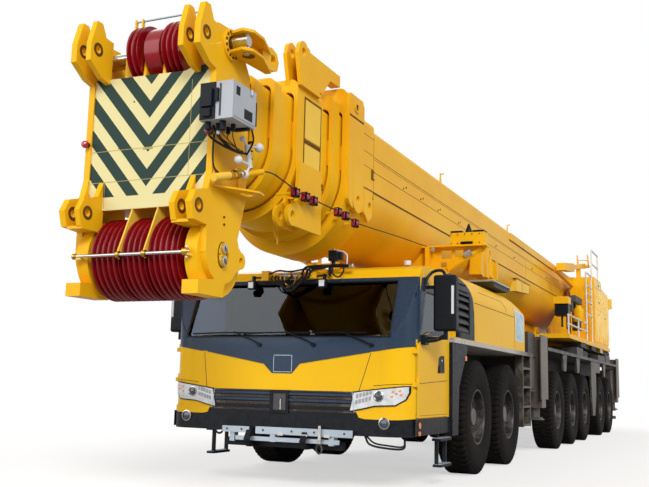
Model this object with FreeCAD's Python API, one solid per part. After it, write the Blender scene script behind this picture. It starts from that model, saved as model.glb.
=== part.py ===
import FreeCAD, Part
import math
import os

from FreeCAD import Vector

# Mobile crane on seven axles, parked with its telescopic boom laid forward over the cab.
# Millimetres. X points forward, Y to the machine's left and Z up.
# Every piece is modelled from the middle of the first axle, at ground level, and is moved
# by front_axle_x when it is written, so that the origin lies under the middle of the machine.
front_axle_x = 6080.0

# Running clearances
shaft_clearance = 0.1
seat_clearance = 0.3
slide_clearance = 0.5
open_clearance = 6.0

# Running gear
vehicle_width = 3000.0
axle_gaps = (1720.0, 4040.0, 1720.0, 1690.0, 2610.0, 1720.0)
steered_axles = (1, 2, 6, 7)
tyre_radius = 705.0
tyre_width = 400.0
tyre_shoulder = 44.0
bead_radius = 335.0
rim_wall = 22.0
rim_edge_inset = 30.0
rim_disc_offset = 40.0
rim_disc_thickness = 26.0
hand_hole_count = 10
hand_hole_radius = 38.0
hand_hole_circle = 232.0
hub_radius = 140.0
hub_cap_y = 130.0
hub_back_y = -60.0
spindle_radius = 60.0
spindle_reach = 50.0
kingpin_inset = 500.0
kingpin_post_radius = 55.0
kingpin_radius = 27.5
kingpin_length = 300.0
kingpin_lug = 46.0
steering_arm_length = 190.0
axle_tube_radius = 88.0
differential_radius = 230.0
differential_half = 150.0
strut_radius = 62.0
strut_y = 500.0

# Chassis
rail_half_gap = 380.0
rail_width = 240.0
rail_bottom = 960.0
front_rail_top = 1580.0
deck_thickness = 60.0
rear_deck_top = 1810.0
cab_frame_bottom = 620.0
cab_frame_half_width = 560.0
cross_member_half = 60.0
cross_member_inset = 60.0
cross_member_x = (1080.0, -300.0, -2850.0, -5300.0, -6620.0, -8325.0, -10475.0, -12640.0, -14350.0)
slew_centre_x = -10450.0
slew_ring_radius = 1000.0
slew_ring_flange = 60.0
slew_ring_top = 2055.0
engine_rear_x = -2700.0
engine_front_x = -600.0
engine_bottom = 1000.0
engine_top = 1950.0
engine_well_margin = 200.0

# Outriggers: each end has one beam to the left and, ahead of it, one to the right
# Columns: name, rear x of the pair of boxes
outrigger_ends = (("front", -4720.0), ("rear", -15800.0))
boom_rest_middle = 580.0
boom_rest_gap = 20.0
outrigger_wall = 30.0
beam_width = 570.0
beam_height = 520.0
beam_bottom = 1075.0
beam_wall = 25.0
beam_running_gap = 10.0
beam_inner_end = 1400.0
box_mouth_y = 1120.0
box_far_end_y = 1420.0
slide_pad_length = 160.0
jack_y = 1305.0
jack_housing_half = 175.0
jack_housing_bottom = 760.0
jack_housing_top = 1960.0
jack_radius = 100.0
jack_top = 1840.0
pad_radius = 180.0
pad_bottom = 555.0
pad_thickness = 45.0
cover_thickness = 18.0
cover_bottom = 900.0
cover_top = 1990.0
deck_box_top = 2000.0

# Side of the carrier
side_plate_thickness = 40.0
side_plate_inset = 20.0
ladder_foot_z = 490.0
ladder_rear_x = -3290.0
ladder_width = 590.0
ladder_depth = 120.0
ladder_rung_z = (500.0, 780.0, 1080.0, 1370.0)

# Carrier cab
cab_rear_x = 1200.0
cab_front_x = 2600.0
cab_half_width = 1450.0
cab_bottom = 560.0
cab_floor = 960.0
cab_roof = 2350.0
cab_wall = 55.0
door_gap = 6.0
door_front_x = 2350.0
door_rear_x = 1275.0
door_bottom = 740.0
door_top = 2150.0
hinge_z = (1060.0, 1400.0)
hinge_barrel_radius = 16.0
hinge_pin_radius = 8.0
hinge_barrel_length = 45.0
glass_thickness = 8.0
screen_half_width = 1230.0
screen_bottom = 1560.0
screen_top = 2170.0
bumper_top = 775.0
headlamp_inner_y = 870.0
headlamp_bottom = 800.0
headlamp_top = 1040.0
grille_half_width = 840.0
mirror_inner_y = 1540.0
mirror_outer_y = 1790.0
mirror_bottom = 1650.0
mirror_top = 2250.0

# Engine hood
hood_front_x = 750.0
hood_rear_x = -3250.0
hood_half_width = 1400.0
hood_shoulder_z = 2150.0
hood_top = 2545.0
hood_wall = 30.0
hood_slope_length = 900.0
hood_slope_drop = 295.0
louvre_count = 5
louvre_depth = 60.0

# Superstructure
pivot_x = -12400.0
pivot_z = 3350.0
pivot_radius = 90.0
cheek_inner_y = 722.0
cheek_thickness = 58.0
platform_top = 2220.0
platform_thickness = 90.0
tail_end_x = -17610.0
tail_half_width = 1150.0
winch_x = -15900.0
winch_z = 3230.0
winch_core_radius = 330.0
winch_flange_radius = 480.0
winch_half_width = 520.0
winch_shaft_radius = 100.0
winch_frame_y = 640.0
winch_frame_thickness = 60.0
cabinet_front_x = -11400.0
cabinet_rear_x = -14000.0
cabinet_inner_y = 860.0
cabinet_outer_y = 1440.0
crane_cab_rear_x = -8900.0
crane_cab_front_x = -7000.0
crane_cab_inner_y = -760.0
crane_cab_outer_y = -1450.0
crane_cab_wall = 50.0
crane_cab_top = 3780.0
handrail_y = 1400.0
handrail_radius = 20.0

# Boom: each section is a tube with a half round belly below shell_centre_z
shell_centre_z = 3300.0
tube_wall = 16.0
shell_corner = 70.0
base_half_width = 680.0
base_top = 4050.0
section_step = 47.0
base_rear_x = -12900.0
inner_rear_x = -12250.0
inner_rear_step = 120.0
collar_bore_gap = 22.0
collar_side_growth = 15.0

# Columns: rear x and front x of the collar, its top z, and how far its belly hangs below the tube's
collars = (
    (2060.0, 2600.0, 4280.0, 150.0),
    (2670.0, 2850.0, 4130.0, 60.0),
    (3000.0, 3600.0, 4060.0, 60.0),
    (3850.0, 4000.0, 3950.0, 30.0),
    (4150.0, 4300.0, 3880.0, 30.0),
)
ear_collar = 2
ear_far_y = 600.0
ear_near_y = 470.0
ear_thickness = 40.0
ear_hole_radius = 45.0

# Bracket that stands out from the boom's belly on each side, with pads and a guide cone on top
bracket_x = -500.0
bracket_half_depth = 120.0
bracket_reach_y = 1490.0
bracket_flange_z = 2960.0
bracket_plate = 20.0

# Luffing cylinder
luff_foot_x = -10300.0
luff_eye_x = -5900.0
luff_axis_z = 2422.0
barrel_radius = 182.0
rod_radius = 120.0
luff_pin_radius = 60.0
luff_eye_half = 110.0
luff_ear_near_y = 130.0
luff_ear_far_y = 190.0

# Head
head_rear_x = 4600.0
head_front_x = 5450.0
head_plate_inner_y = 592.0
head_plate_thickness = 58.0
head_front_plate_x = 5150.0
head_front_plate_thickness = 30.0
head_ring_length = 40.0
head_box_reach = 300.0
head_near_ear_y = 440.0
head_near_ear_thickness = 50.0
head_axle_radius = 70.0
lower_axle_x = 4950.0
lower_axle_z = 2080.0
lower_sheave_radius = 355.0
lower_cheek_radius = 335.0
upper_axle_x = 4985.0
upper_axle_z = 3885.0
upper_sheave_radius = 270.0
upper_sheave_outer_y = 330.0
sheave_pitch = 56.0
sheave_groove_depth = 40.0
sheave_rim = 8.0
outer_groove_count = 5
middle_groove_count = 4
divider_thickness = 24.0
divider_gap = 5.0
jib_pin_radius = 32.0
jib_low_x = 5370.0
jib_low_z = 2430.0
jib_top_x = 5370.0
jib_top_z = 3860.0

axle_x = [0.0]
for gap in axle_gaps:
    axle_x.append(axle_x[-1] - gap)

half_width = vehicle_width / 2
wheel_y = half_width - tyre_width / 2
kingpin_y = half_width - kingpin_inset
axle_z = tyre_radius
rail_outer_y = rail_half_gap + rail_width
rail_front_x = cab_rear_x - 50
deck_bottom = front_rail_top + seat_clearance
deck_top = deck_bottom + deck_thickness
rear_deck_bottom = rear_deck_top - deck_thickness
rear_rail_top = rear_deck_bottom - seat_clearance
cab_frame_top = cab_floor - cab_wall - seat_clearance
box_growth = beam_running_gap + outrigger_wall
box_top = beam_bottom + beam_height + box_growth
boxes_length = 2 * (beam_width + 2 * box_growth)
platform_bottom = platform_top - platform_thickness
cheek_outer_y = cheek_inner_y + cheek_thickness


def span(side, near, far):
    # The y range between two distances from the middle, on one side of the machine.
    return sorted((side * near, side * far))


def block(x0, x1, y0, y1, z0, z1):
    return Part.makeBox(x1 - x0, y1 - y0, z1 - z0, Vector(x0, y0, z0))


def side_block(side, x0, x1, near, far, z0, z1):
    return block(x0, x1, *span(side, near, far), z0, z1)


def rod_x(radius, y, z, x0, x1):
    return Part.makeCylinder(radius, x1 - x0, Vector(x0, y, z), Vector(1, 0, 0))


def rod_y(radius, x, z, y0, y1):
    return Part.makeCylinder(radius, y1 - y0, Vector(x, y0, z), Vector(0, 1, 0))


def rod_z(radius, x, y, z0, z1):
    return Part.makeCylinder(radius, z1 - z0, Vector(x, y, z0), Vector(0, 0, 1))


def bar(radius, start, end):
    # A round bar between two points.
    a, b = Vector(*start), Vector(*end)
    return Part.makeCylinder(radius, (b - a).Length, a, b - a)


def side_plate(points, y0, y1):
    # An outline of (x, z) points, extruded across the machine.
    corners = [Vector(x, y0, z) for x, z in points]
    face = Part.Face(Part.makePolygon(corners + corners[:1]))
    return face.extrude(Vector(0, y1 - y0, 0))


def cross_plate(points, x0, x1):
    # An outline of (y, z) points, extruded along the machine.
    corners = [Vector(x0, y, z) for y, z in points]
    face = Part.Face(Part.makePolygon(corners + corners[:1]))
    return face.extrude(Vector(x1 - x0, 0, 0))


def joined(shapes):
    whole = shapes[0]
    if len(shapes) > 1:
        whole = whole.multiFuse(shapes[1:])
    return whole.removeSplitter()


def spun(points, x, y, z):
    # A closed (radius, width) outline turned about the Y axis through x, y, z.
    corners = [Vector(x + r, y + w, z) for r, w in points]
    face = Part.Face(Part.makePolygon(corners + corners[:1]))
    return face.revolve(Vector(x, y, z), Vector(0, 1, 0), 360)


def write(node, *shapes):
    solids = []
    for shape in shapes:
        solids.extend(shape.Solids)
    whole = Part.makeCompound(solids) if len(solids) > 1 else solids[0]
    whole.translate(Vector(front_axle_x, 0, 0))
    whole.exportStep("parts/" + node + ".step")
    print(node, len(solids), round(whole.Volume / 1e9, 3))


# Running gear

def tyre(x, side):
    half = tyre_width / 2
    # (radius, width) from the outer bead over the side wall to the edge of the tread
    profile = [
        (bead_radius, half - 42), (bead_radius + 45, half - 22), (tyre_radius - 180, half),
        (tyre_radius - 60, half - 10), (tyre_radius, half - tyre_shoulder),
    ]
    profile += [(r, -w) for r, w in reversed(profile)]
    return spun(profile, x, side * wheel_y, axle_z)


def rim(x, side):
    edge = tyre_width / 2 - rim_edge_inset
    outer = bead_radius - seat_clearance
    inner = outer - rim_wall
    disc_y = rim_disc_offset
    disc_root = hub_radius - 20
    # (radius, width) outlines, the wheel's outer side at the larger widths
    barrel = [(outer, edge), (outer, -edge), (inner, -edge), (inner, edge)]
    disc = [
        (inner + 2, disc_y + 40), (inner + 2, disc_y), (disc_root, disc_y - 30),
        (disc_root, disc_y - 30 + rim_disc_thickness), (inner - 60, disc_y + 40),
    ]
    hub = [
        (0, hub_cap_y), (hub_radius - 50, hub_cap_y), (hub_radius - 15, hub_cap_y - 30),
        (hub_radius, 0), (hub_radius, hub_back_y), (0, hub_back_y),
    ]
    pieces = []
    for outline in (barrel, disc, hub):
        pieces.append(spun([(r, side * w) for r, w in outline], x, side * wheel_y, axle_z))
    whole = joined(pieces)
    bore = span(side, wheel_y + hub_back_y - 1, wheel_y + spindle_reach + 10)
    whole = whole.cut(rod_y(spindle_radius + shaft_clearance, x, axle_z, *bore))
    for i in range(hand_hole_count):
        turn = 2 * math.pi * i / hand_hole_count
        hole_x = x + hand_hole_circle * math.cos(turn)
        hole_z = axle_z + hand_hole_circle * math.sin(turn)
        whole = whole.cut(rod_y(hand_hole_radius, hole_x, hole_z, *span(side, wheel_y, wheel_y + hub_cap_y)))
    return whole


def knuckle(x, side):
    half = kingpin_length / 2
    post = rod_z(kingpin_post_radius, x, side * kingpin_y, axle_z - half, axle_z + half)
    pin = rod_z(kingpin_radius, x, side * kingpin_y, axle_z - half - kingpin_lug, axle_z + half + kingpin_lug)
    spindle = rod_y(spindle_radius, x, axle_z, *span(side, kingpin_y, wheel_y + spindle_reach))
    arm = side_block(side, x - 20, x + steering_arm_length, kingpin_y - 30, kingpin_y + 30,
                     axle_z - half + 20, axle_z - half + 55)
    return joined([post, pin, spindle, arm])


def kingpin_fork(x, side):
    half = kingpin_length / 2
    top = axle_z + half + kingpin_lug
    bottom = axle_z - half - kingpin_lug
    root, web, tip = kingpin_y - 120, kingpin_y - 90, kingpin_y + 60
    fork = joined([
        side_block(side, x - 70, x + 70, root, web, bottom, top),
        side_block(side, x - 70, x + 70, root, tip, axle_z + half + slide_clearance, top),
        side_block(side, x - 70, x + 70, root, tip, bottom, axle_z - half - slide_clearance),
    ])
    return fork.cut(rod_z(kingpin_radius + shaft_clearance, x, side * kingpin_y, bottom - 1, top + 1))


def axle_beam(number, x):
    tube_end = kingpin_y - 95
    pieces = [rod_y(axle_tube_radius, x, axle_z, -tube_end, tube_end)]
    pieces.append(rod_x(differential_radius, 0, axle_z, x - differential_half, x + differential_half))
    if number not in steered_axles:
        spindle_end = wheel_y + spindle_reach
        pieces.append(rod_y(spindle_radius, x, axle_z, -spindle_end, spindle_end))
    for side in (-1, 1):
        # The suspension strut ends against the underside of the frame rail
        pieces.append(rod_z(strut_radius, x, side * strut_y, axle_z + 40, rail_bottom - seat_clearance))
        if number in steered_axles:
            pieces.append(kingpin_fork(x, side))
    return joined(pieces)


def write_running_gear():
    beams = []
    for index, x in enumerate(axle_x):
        number = index + 1
        beams.append(axle_beam(number, x))
        for side, word in ((1, "left"), (-1, "right")):
            write("wheel_%d_%s" % (number, word), tyre(x, side), rim(x, side))
            if number in steered_axles:
                write("knuckle_%d_%s" % (number, word), knuckle(x, side))
    write("axle_beams", *beams)


# Chassis and outriggers

def beam_place(end_x, side):
    # Low and high x of a beam; the left beam lies behind the right one.
    low = end_x + box_growth
    if side < 0:
        low += boxes_length / 2
    return low, low + beam_width


def outrigger_tunnel(end_x, side):
    low, high = beam_place(end_x, side)
    gap = beam_running_gap
    return block(low - gap, high + gap, *sorted((side * (box_mouth_y + 20), -side * (box_far_end_y + 20))),
                 beam_bottom - gap, beam_bottom + beam_height + gap)


def slide_pads(end_x, side):
    # Thin pads in the mouth of the tunnel, which the beam runs on.
    low, high = beam_place(end_x, side)
    near, far = box_mouth_y - slide_pad_length, box_mouth_y
    seat, fit = beam_running_gap + 1, slide_clearance
    top = beam_bottom + beam_height
    return [
        side_block(side, low + 60, high - 60, near, far, beam_bottom - seat, beam_bottom - fit),
        side_block(side, low + 60, high - 60, near, far, top + fit, top + seat),
        side_block(side, low - seat, low - fit, near, far, beam_bottom + 60, top - 60),
        side_block(side, high + fit, high + seat, near, far, beam_bottom + 60, top - 60),
    ]


def outrigger_boxes(end_x):
    # Two square tunnels side by side across the frame, each open where its beam comes out.
    boxes, pads = [], []
    for side in (-1, 1):
        low, high = beam_place(end_x, side)
        boxes.append(block(low - box_growth, high + box_growth,
                           *sorted((side * box_mouth_y, -side * box_far_end_y)),
                           beam_bottom - box_growth, box_top))
        pads.extend(slide_pads(end_x, side))
    whole = joined(boxes)
    for side in (-1, 1):
        whole = whole.cut(outrigger_tunnel(end_x, side))
    return joined([whole] + pads)


def outrigger_beam(end_x, side):
    low, high = beam_place(end_x, side)
    middle = (low + high) / 2
    half = jack_housing_half
    top = beam_bottom + beam_height
    beam = block(low, high, *sorted((side * (jack_y - half), -side * beam_inner_end)), beam_bottom, top)
    hollow = block(low + beam_wall, high - beam_wall,
                   *sorted((side * (jack_y - half - 1), side * (1 - beam_inner_end))),
                   beam_bottom + beam_wall, top - beam_wall)
    housing = side_block(side, middle - half, middle + half, jack_y - half - 1, jack_y + half,
                         jack_housing_bottom, jack_housing_top)
    cover = side_block(side, low - 20, high + 20, half_width - cover_thickness, half_width,
                       cover_bottom, cover_top)
    link = side_block(side, low + 120, high - 120, jack_y + half - 5, half_width - 5, beam_bottom, top)
    flange = side_block(side, low, high, jack_y - half - beam_wall, jack_y - half, beam_bottom, top)
    whole = joined([beam.cut(hollow), flange, housing, cover, link])
    return whole.cut(rod_z(jack_radius + shaft_clearance, middle, side * jack_y, jack_housing_bottom - 1,
                           jack_top + 40))


def outrigger_jack(end_x, side):
    low, high = beam_place(end_x, side)
    middle = (low + high) / 2
    stem = rod_z(jack_radius, middle, side * jack_y, pad_bottom + 5, jack_top)
    pad = Part.makeCone(pad_radius, pad_radius - 45, pad_thickness, Vector(middle, side * jack_y, pad_bottom))
    return joined([stem, pad])


def frame_rails():
    front_boxes = outrigger_ends[0][1]
    rear_boxes = outrigger_ends[1][1]
    # Columns: rear x, front x and top of each length of the box section rails
    lengths = (
        (front_boxes + boxes_length + seat_clearance, rail_front_x, front_rail_top),
        (rear_boxes + boxes_length + seat_clearance, front_boxes - seat_clearance, rear_rail_top),
    )
    pieces = []
    for rear, front, top in lengths:
        for side in (-1, 1):
            pieces.append(side_block(side, rear, front, rail_half_gap, rail_outer_y, rail_bottom, top))
        for x in cross_member_x:
            if rear < x < front:
                inner = rail_half_gap - seat_clearance
                pieces.append(block(x - cross_member_half, x + cross_member_half, -inner, inner,
                                    rail_bottom + cross_member_inset, front_rail_top - cross_member_inset))
    return pieces


def cab_frame():
    # The frame drops in front of the rails to pass under the cab floor.
    rear = rail_front_x + seat_clearance
    front = cab_front_x - 150
    upright = 35.0
    outline = [
        (rear, cab_frame_bottom + 100), (rear + 100, cab_frame_bottom), (front, cab_frame_bottom),
        (front, cab_frame_top), (rear + upright, cab_frame_top), (rear + upright, front_rail_top - 200),
        (rear, front_rail_top - 200),
    ]
    return side_plate(outline, -cab_frame_half_width, cab_frame_half_width)


def boom_rest():
    # A flat topped stand on the front outrigger boxes, under the boom's belly.
    middle = outrigger_ends[0][1] + boom_rest_middle
    foot = box_top + seat_clearance
    top = shell_centre_z - base_half_width - boom_rest_gap
    outline = [
        (middle - 300, foot), (middle + 300, foot), (middle + 160, top - 60), (middle + 160, top),
        (middle - 160, top), (middle - 160, top - 60),
    ]
    return side_plate(outline, -260, 260)


def slew_tower():
    foot = rear_rail_top + seat_clearance
    flange = rod_z(slew_ring_radius + slew_ring_flange, slew_centre_x, 0, foot, slew_ring_top - 90)
    return joined([flange, rod_z(slew_ring_radius, slew_centre_x, 0, foot, slew_ring_top)])


def rear_guard():
    # Two bars across the tail, held by a plate on each side behind the rear outrigger boxes.
    end = outrigger_ends[1][1] - seat_clearance
    bars = [block(end - 1180, end - 1100, -1250, 1250, z, z + 90) for z in (260.0, 500.0)]
    for side in (-1, 1):
        bars.append(side_plate([(end, 1200), (end, 1550), (end - 1140, 600), (end - 1180, 600),
                                (end - 1180, 260), (end - 1100, 260), (end - 1100, 480)],
                               *span(side, 700, 740)))
    return joined(bars)


def deck_boxes():
    # Columns: rear x, front x and top of the low boxes along the rear deck
    low_boxes = ((-9400.0, -8500.0, 1990.0), (-13250.0, -11900.0, 1960.0), (-14300.0, -13400.0, 2010.0))
    pieces = []
    for side in (-1, 1):
        low, high = beam_place(outrigger_ends[0][1], -side)
        pieces.append(side_block(side, low, high, box_mouth_y, box_far_end_y - 10, box_top + seat_clearance,
                                 deck_box_top))
        for rear, front, top in low_boxes:
            pieces.append(side_block(side, rear, front, 1120, 1430, rear_deck_top + seat_clearance, top))
    return pieces


def chassis_frame():
    pieces = frame_rails()
    for name, end_x in outrigger_ends:
        pieces.append(outrigger_boxes(end_x))
    return pieces + [cab_frame(), boom_rest(), slew_tower(), rear_guard()] + deck_boxes()


def carrier_engine():
    side = rail_half_gap - seat_clearance
    return block(engine_rear_x, engine_front_x, -side, side, engine_bottom, engine_top)


def front_deck():
    # The well in the middle leaves room for the engine.
    deck = block(hood_rear_x - 150, cab_rear_x - 100, -half_width, half_width, deck_bottom, deck_top)
    well_y = rail_half_gap + 20
    return deck.cut(block(engine_rear_x - engine_well_margin, engine_front_x + engine_well_margin,
                          -well_y, well_y, deck_bottom - 1, deck_top + 1))


def rear_deck():
    rear_x = outrigger_ends[1][1] + 30
    deck = block(rear_x, outrigger_ends[0][1] - 30, -half_width, half_width, rear_deck_bottom, rear_deck_top)
    ring = slew_ring_radius + slew_ring_flange + open_clearance
    deck = deck.cut(rod_z(ring, slew_centre_x, 0, rear_deck_bottom - 1, rear_deck_top + 1))
    for side in (-1, 1):
        low, high = beam_place(outrigger_ends[1][1], side)
        deck = deck.cut(side_block(side, low - 60, high + 60, box_mouth_y - 30, half_width + 1,
                                   rear_deck_bottom - 1, rear_deck_top + 1))
    return deck


def hanging_plates(side):
    # Tapered plates between the wheels and a boot shaped one behind the fifth axle
    top = rear_deck_bottom - seat_clearance
    y = span(side, half_width - side_plate_inset - side_plate_thickness, half_width - side_plate_inset)
    plates = []
    for x in (-6640.0, -8320.0, -12650.0):
        outline = [(x - 260, top), (x + 260, top), (x + 120, top - 320), (x - 120, top - 320)]
        plates.append(side_plate(outline, *y))
    plates.append(side_plate([(-11800, top), (-10250, top), (-10250, 1200), (-10400, 500), (-10800, 500),
                              (-11050, 1000), (-11050, 1500), (-11800, 1500)], *y))
    return plates


def deck_ladder(side):
    top = deck_bottom - seat_clearance
    near, far = half_width - side_plate_inset - ladder_depth, half_width - side_plate_inset
    front = ladder_rear_x + ladder_width
    pieces = [side_block(side, x, x + 40, near, far, ladder_foot_z, top) for x in (ladder_rear_x, front - 40)]
    for z in ladder_rung_z:
        pieces.append(side_block(side, ladder_rear_x, front, near, far, z, z + 34))
    return joined(pieces)


def deck_plates():
    pieces = [front_deck(), rear_deck()]
    for side in (-1, 1):
        pieces.extend(hanging_plates(side))
        pieces.append(deck_ladder(side))
    return pieces


def write_chassis():
    write("chassis_frame", *chassis_frame())
    write("carrier_engine", carrier_engine())
    write("deck_plates", *deck_plates())
    for name, end_x in outrigger_ends:
        for side, word in ((1, "left"), (-1, "right")):
            write("outrigger_beam_%s_%s" % (name, word), outrigger_beam(end_x, side))
            write("outrigger_jack_%s_%s" % (name, word), outrigger_jack(end_x, side))


# Engine hood

def hood_section(inset, bottom, x0, x1):
    # The hood's section: upright sides and broad shoulders rounded by arcs.
    w = hood_half_width - inset
    top = hood_top - inset
    shoulder = top - hood_shoulder_z
    points = [Vector(x0, w, bottom), Vector(x0, w, hood_shoulder_z), Vector(x0, w - shoulder, top),
              Vector(x0, shoulder - w, top), Vector(x0, -w, hood_shoulder_z), Vector(x0, -w, bottom)]
    bend = shoulder * (1 - math.sqrt(0.5))
    edges = [
        Part.makeLine(points[0], points[1]),
        Part.Arc(points[1], Vector(x0, w - bend, top - bend), points[2]).toShape(),
        Part.makeLine(points[2], points[3]),
        Part.Arc(points[3], Vector(x0, bend - w, top - bend), points[4]).toShape(),
        Part.makeLine(points[4], points[5]), Part.makeLine(points[5], points[0]),
    ]
    return Part.Face(Part.Wire(edges)).extrude(Vector(x1 - x0, 0, 0))


def hood_under(inset):
    # Everything below the lid line, which falls towards the rear.
    start = hood_rear_x + hood_slope_length
    return side_plate([(hood_rear_x - 1, 0), (hood_front_x + 1, 0), (hood_front_x + 1, hood_top - inset),
                       (start, hood_top - inset), (hood_rear_x - 1, hood_top - hood_slope_drop - inset)],
                      -hood_half_width - 1, hood_half_width + 1)


def louvre_panel(side, low, high):
    # Slats that slope inwards and up, across a window in the hood's side.
    slats = []
    edge = side * (hood_half_width - 2)
    back = side * (hood_half_width - louvre_depth + 15)
    step = (high - low) / louvre_count
    for i in range(louvre_count):
        z = low + step * (i + 0.5)
        outline = [(edge, z - 26), (edge, z - 6), (back, z + 44), (back, z + 24)]
        slats.append(cross_plate(outline, hood_front_x - 605, hood_front_x - 75))
    return slats


def engine_hood():
    bottom = deck_top + seat_clearance
    outer = hood_section(0, bottom, hood_rear_x, hood_front_x).common(hood_under(0))
    inner = hood_section(hood_wall, bottom - 1, hood_rear_x + hood_wall, hood_front_x - hood_wall)
    shell = outer.cut(inner.common(hood_under(hood_wall)))
    low, high = deck_top + 90, hood_shoulder_z + 60
    for side in (-1, 1):
        shell = shell.cut(side_block(side, hood_front_x - 600, hood_front_x - 80,
                                     hood_half_width - louvre_depth, hood_half_width + 1, low, high))
        shell = joined([shell] + louvre_panel(side, low, high))
    return shell


# Carrier cab

def cab_plan(inset, z0, z1):
    # Plan of the cab: straight sides, round front corners and a slightly bowed front.
    side_y = cab_half_width - inset
    front = cab_front_x - inset
    corner_length, corner_width, bow = 320.0, 330.0, 35.0
    lead = 0.7 * inset
    rear_left = Vector(cab_rear_x + inset, side_y, z0)
    side_left = Vector(cab_front_x - corner_length, side_y, z0)
    corner_left = Vector(cab_front_x - 118 - lead, cab_half_width - 88 - lead, z0)
    face_left = Vector(front - bow, side_y - corner_width, z0)
    face_right = Vector(face_left.x, -face_left.y, z0)
    corner_right = Vector(corner_left.x, -corner_left.y, z0)
    side_right = Vector(side_left.x, -side_left.y, z0)
    rear_right = Vector(rear_left.x, -rear_left.y, z0)
    edges = [
        Part.makeLine(rear_right, side_right),
        Part.Arc(side_right, corner_right, face_right).toShape(),
        Part.Arc(face_right, Vector(front, 0, z0), face_left).toShape(),
        Part.Arc(face_left, corner_left, side_left).toShape(),
        Part.makeLine(side_left, rear_left), Part.makeLine(rear_left, rear_right),
    ]
    return Part.Face(Part.Wire(edges)).extrude(Vector(0, 0, z1 - z0))


def cab_side_profile(inset, bottom):
    # The screen leans back from the waist to a rounded roof edge.
    front = cab_front_x + 60
    rear = cab_rear_x - 10 + inset
    return side_plate(
        [(rear, bottom), (front, bottom), (front, 1430), (cab_front_x - inset, 1500),
         (cab_front_x - 280 - inset, 2190 - 0.3 * inset), (cab_front_x - 370 - inset, 2310 - inset),
         (cab_front_x - 520 - inset, cab_roof - inset), (rear, cab_roof - inset)],
        -cab_half_width - 10, cab_half_width + 10)


def cab_solid(inset, bottom):
    return cab_plan(inset, bottom, cab_roof).common(cab_side_profile(inset, bottom))


def cab_walls():
    inner = cab_solid(cab_wall, cab_floor)
    under = cab_plan(cab_wall, cab_bottom - 1, cab_floor - cab_wall)
    side = cab_half_width - cab_wall
    rear_gap = block(cab_rear_x - 1, cab_rear_x + cab_wall + 1, -side, side,
                     cab_bottom - 1, cab_floor - cab_wall)
    return cab_solid(0, cab_bottom).cut(inner).cut(under).cut(rear_gap)


def door_region(side, grow):
    # The doorway narrows at the top, where the front pillar leans back.
    rear, front = door_rear_x - grow, door_front_x + grow
    outline = [(rear, door_bottom - grow), (front, door_bottom - grow), (front, 1500),
               (front - 245, door_top + grow), (rear, door_top + grow)]
    return side_plate(outline, *span(side, cab_half_width - 200, cab_half_width + 20))


def door_hinge(side, z):
    # A barrel on the cab with a pin that stands up into the barrel on the door.
    x = door_front_x + door_gap / 2
    y = cab_half_width + 4
    split = z + hinge_barrel_length
    top = split + hinge_barrel_length
    lower = rod_z(hinge_barrel_radius, x, side * y, z, split)
    pin = rod_z(hinge_pin_radius, x, side * y, split - 5, top - 5)
    cab_leaf = side_block(side, x, x + 60, cab_half_width - 110, y + 8, z, split)
    upper = rod_z(hinge_barrel_radius, x, side * y, split + slide_clearance, top)
    door_leaf = side_block(side, x - 60, x, cab_half_width - 110, y + 8, split + slide_clearance, top)
    bore = rod_z(hinge_pin_radius + shaft_clearance, x, side * y, split - 5, top + 1)
    return joined([lower, pin, cab_leaf]), joined([upper, door_leaf]).cut(bore)


def cab_door(side, walls):
    door = walls.common(door_region(side, 0))
    window = side_plate(
        [(door_rear_x + 95, 1690), (door_rear_x + 600, 1650), (door_front_x - 90, 1560),
         (door_front_x - 270, door_top - 70), (door_rear_x + 95, door_top - 70)],
        *span(side, cab_half_width - 200, cab_half_width + 20))
    handle = side_block(side, 1440, 1600, cab_half_width - 5, cab_half_width + 10, 1230, 1290)
    return joined([door.cut(window), handle])


def screen_region():
    return block(cab_front_x - 600, cab_front_x + 100, -screen_half_width, screen_half_width,
                 screen_bottom, screen_top)


def write_cab():
    walls = cab_walls()
    # The front is open for the screen, and below the front panel for the bumper.
    shell = walls.cut(screen_region())
    shell = shell.cut(block(cab_front_x - 210, cab_front_x + 50, -cab_half_width - 10, cab_half_width + 10,
                            cab_bottom - 1, bumper_top + 10))
    middle = (cab_wall - glass_thickness) / 2
    glass = cab_solid(middle, cab_floor).cut(cab_solid(middle + glass_thickness, cab_floor))
    for side, word in ((1, "left"), (-1, "right")):
        fixed_parts, moving_parts = [], []
        for z in hinge_z:
            fixed, moving = door_hinge(side, z)
            fixed_parts.append(fixed)
            moving_parts.append(moving)
        door = joined([cab_door(side, walls)] + moving_parts)
        pocket = side_block(side, door_front_x - 70, door_front_x + 20,
                            cab_half_width - 20, cab_half_width + 40,
                            hinge_z[0] - 10, hinge_z[1] + 2 * hinge_barrel_length + 10)
        shell = shell.cut(door_region(side, door_gap)).cut(pocket)
        shell = joined([shell] + fixed_parts)
        write("cab_door_" + word, door.cut(joined(fixed_parts)))
    write("cab_shell", shell)
    write("cab_windscreen", glass.common(screen_region()))
    write("cab_interior", *cab_interior())


def crew_seat(y):
    low = cab_floor + seat_clearance
    seat = block(1480, 1960, y - 250, y + 250, low, low + 380)
    return joined([seat, block(1400, 1520, y - 240, y + 240, low + 360, low + 1050)])


def dashboard():
    low = cab_floor + seat_clearance
    panel = side_plate([(2250, low), (2480, low), (2480, 1440), (2250, 1400)], -1000, 1000)
    centre = Vector(2140, 820, 1560)
    column = bar(22, (2280, centre.y, 1340), (centre.x, centre.y, centre.z))
    wheel = Part.makeTorus(220, 16, centre, Vector(-0.7, 0, 0.7))
    spoke = block(centre.x - 10, centre.x + 10, centre.y - 220, centre.y + 220, centre.z - 10, centre.z + 10)
    return joined([panel, column, wheel, spoke])


def cab_interior():
    return [crew_seat(y) for y in (-820.0, 0.0, 820.0)] + [dashboard()]


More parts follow.
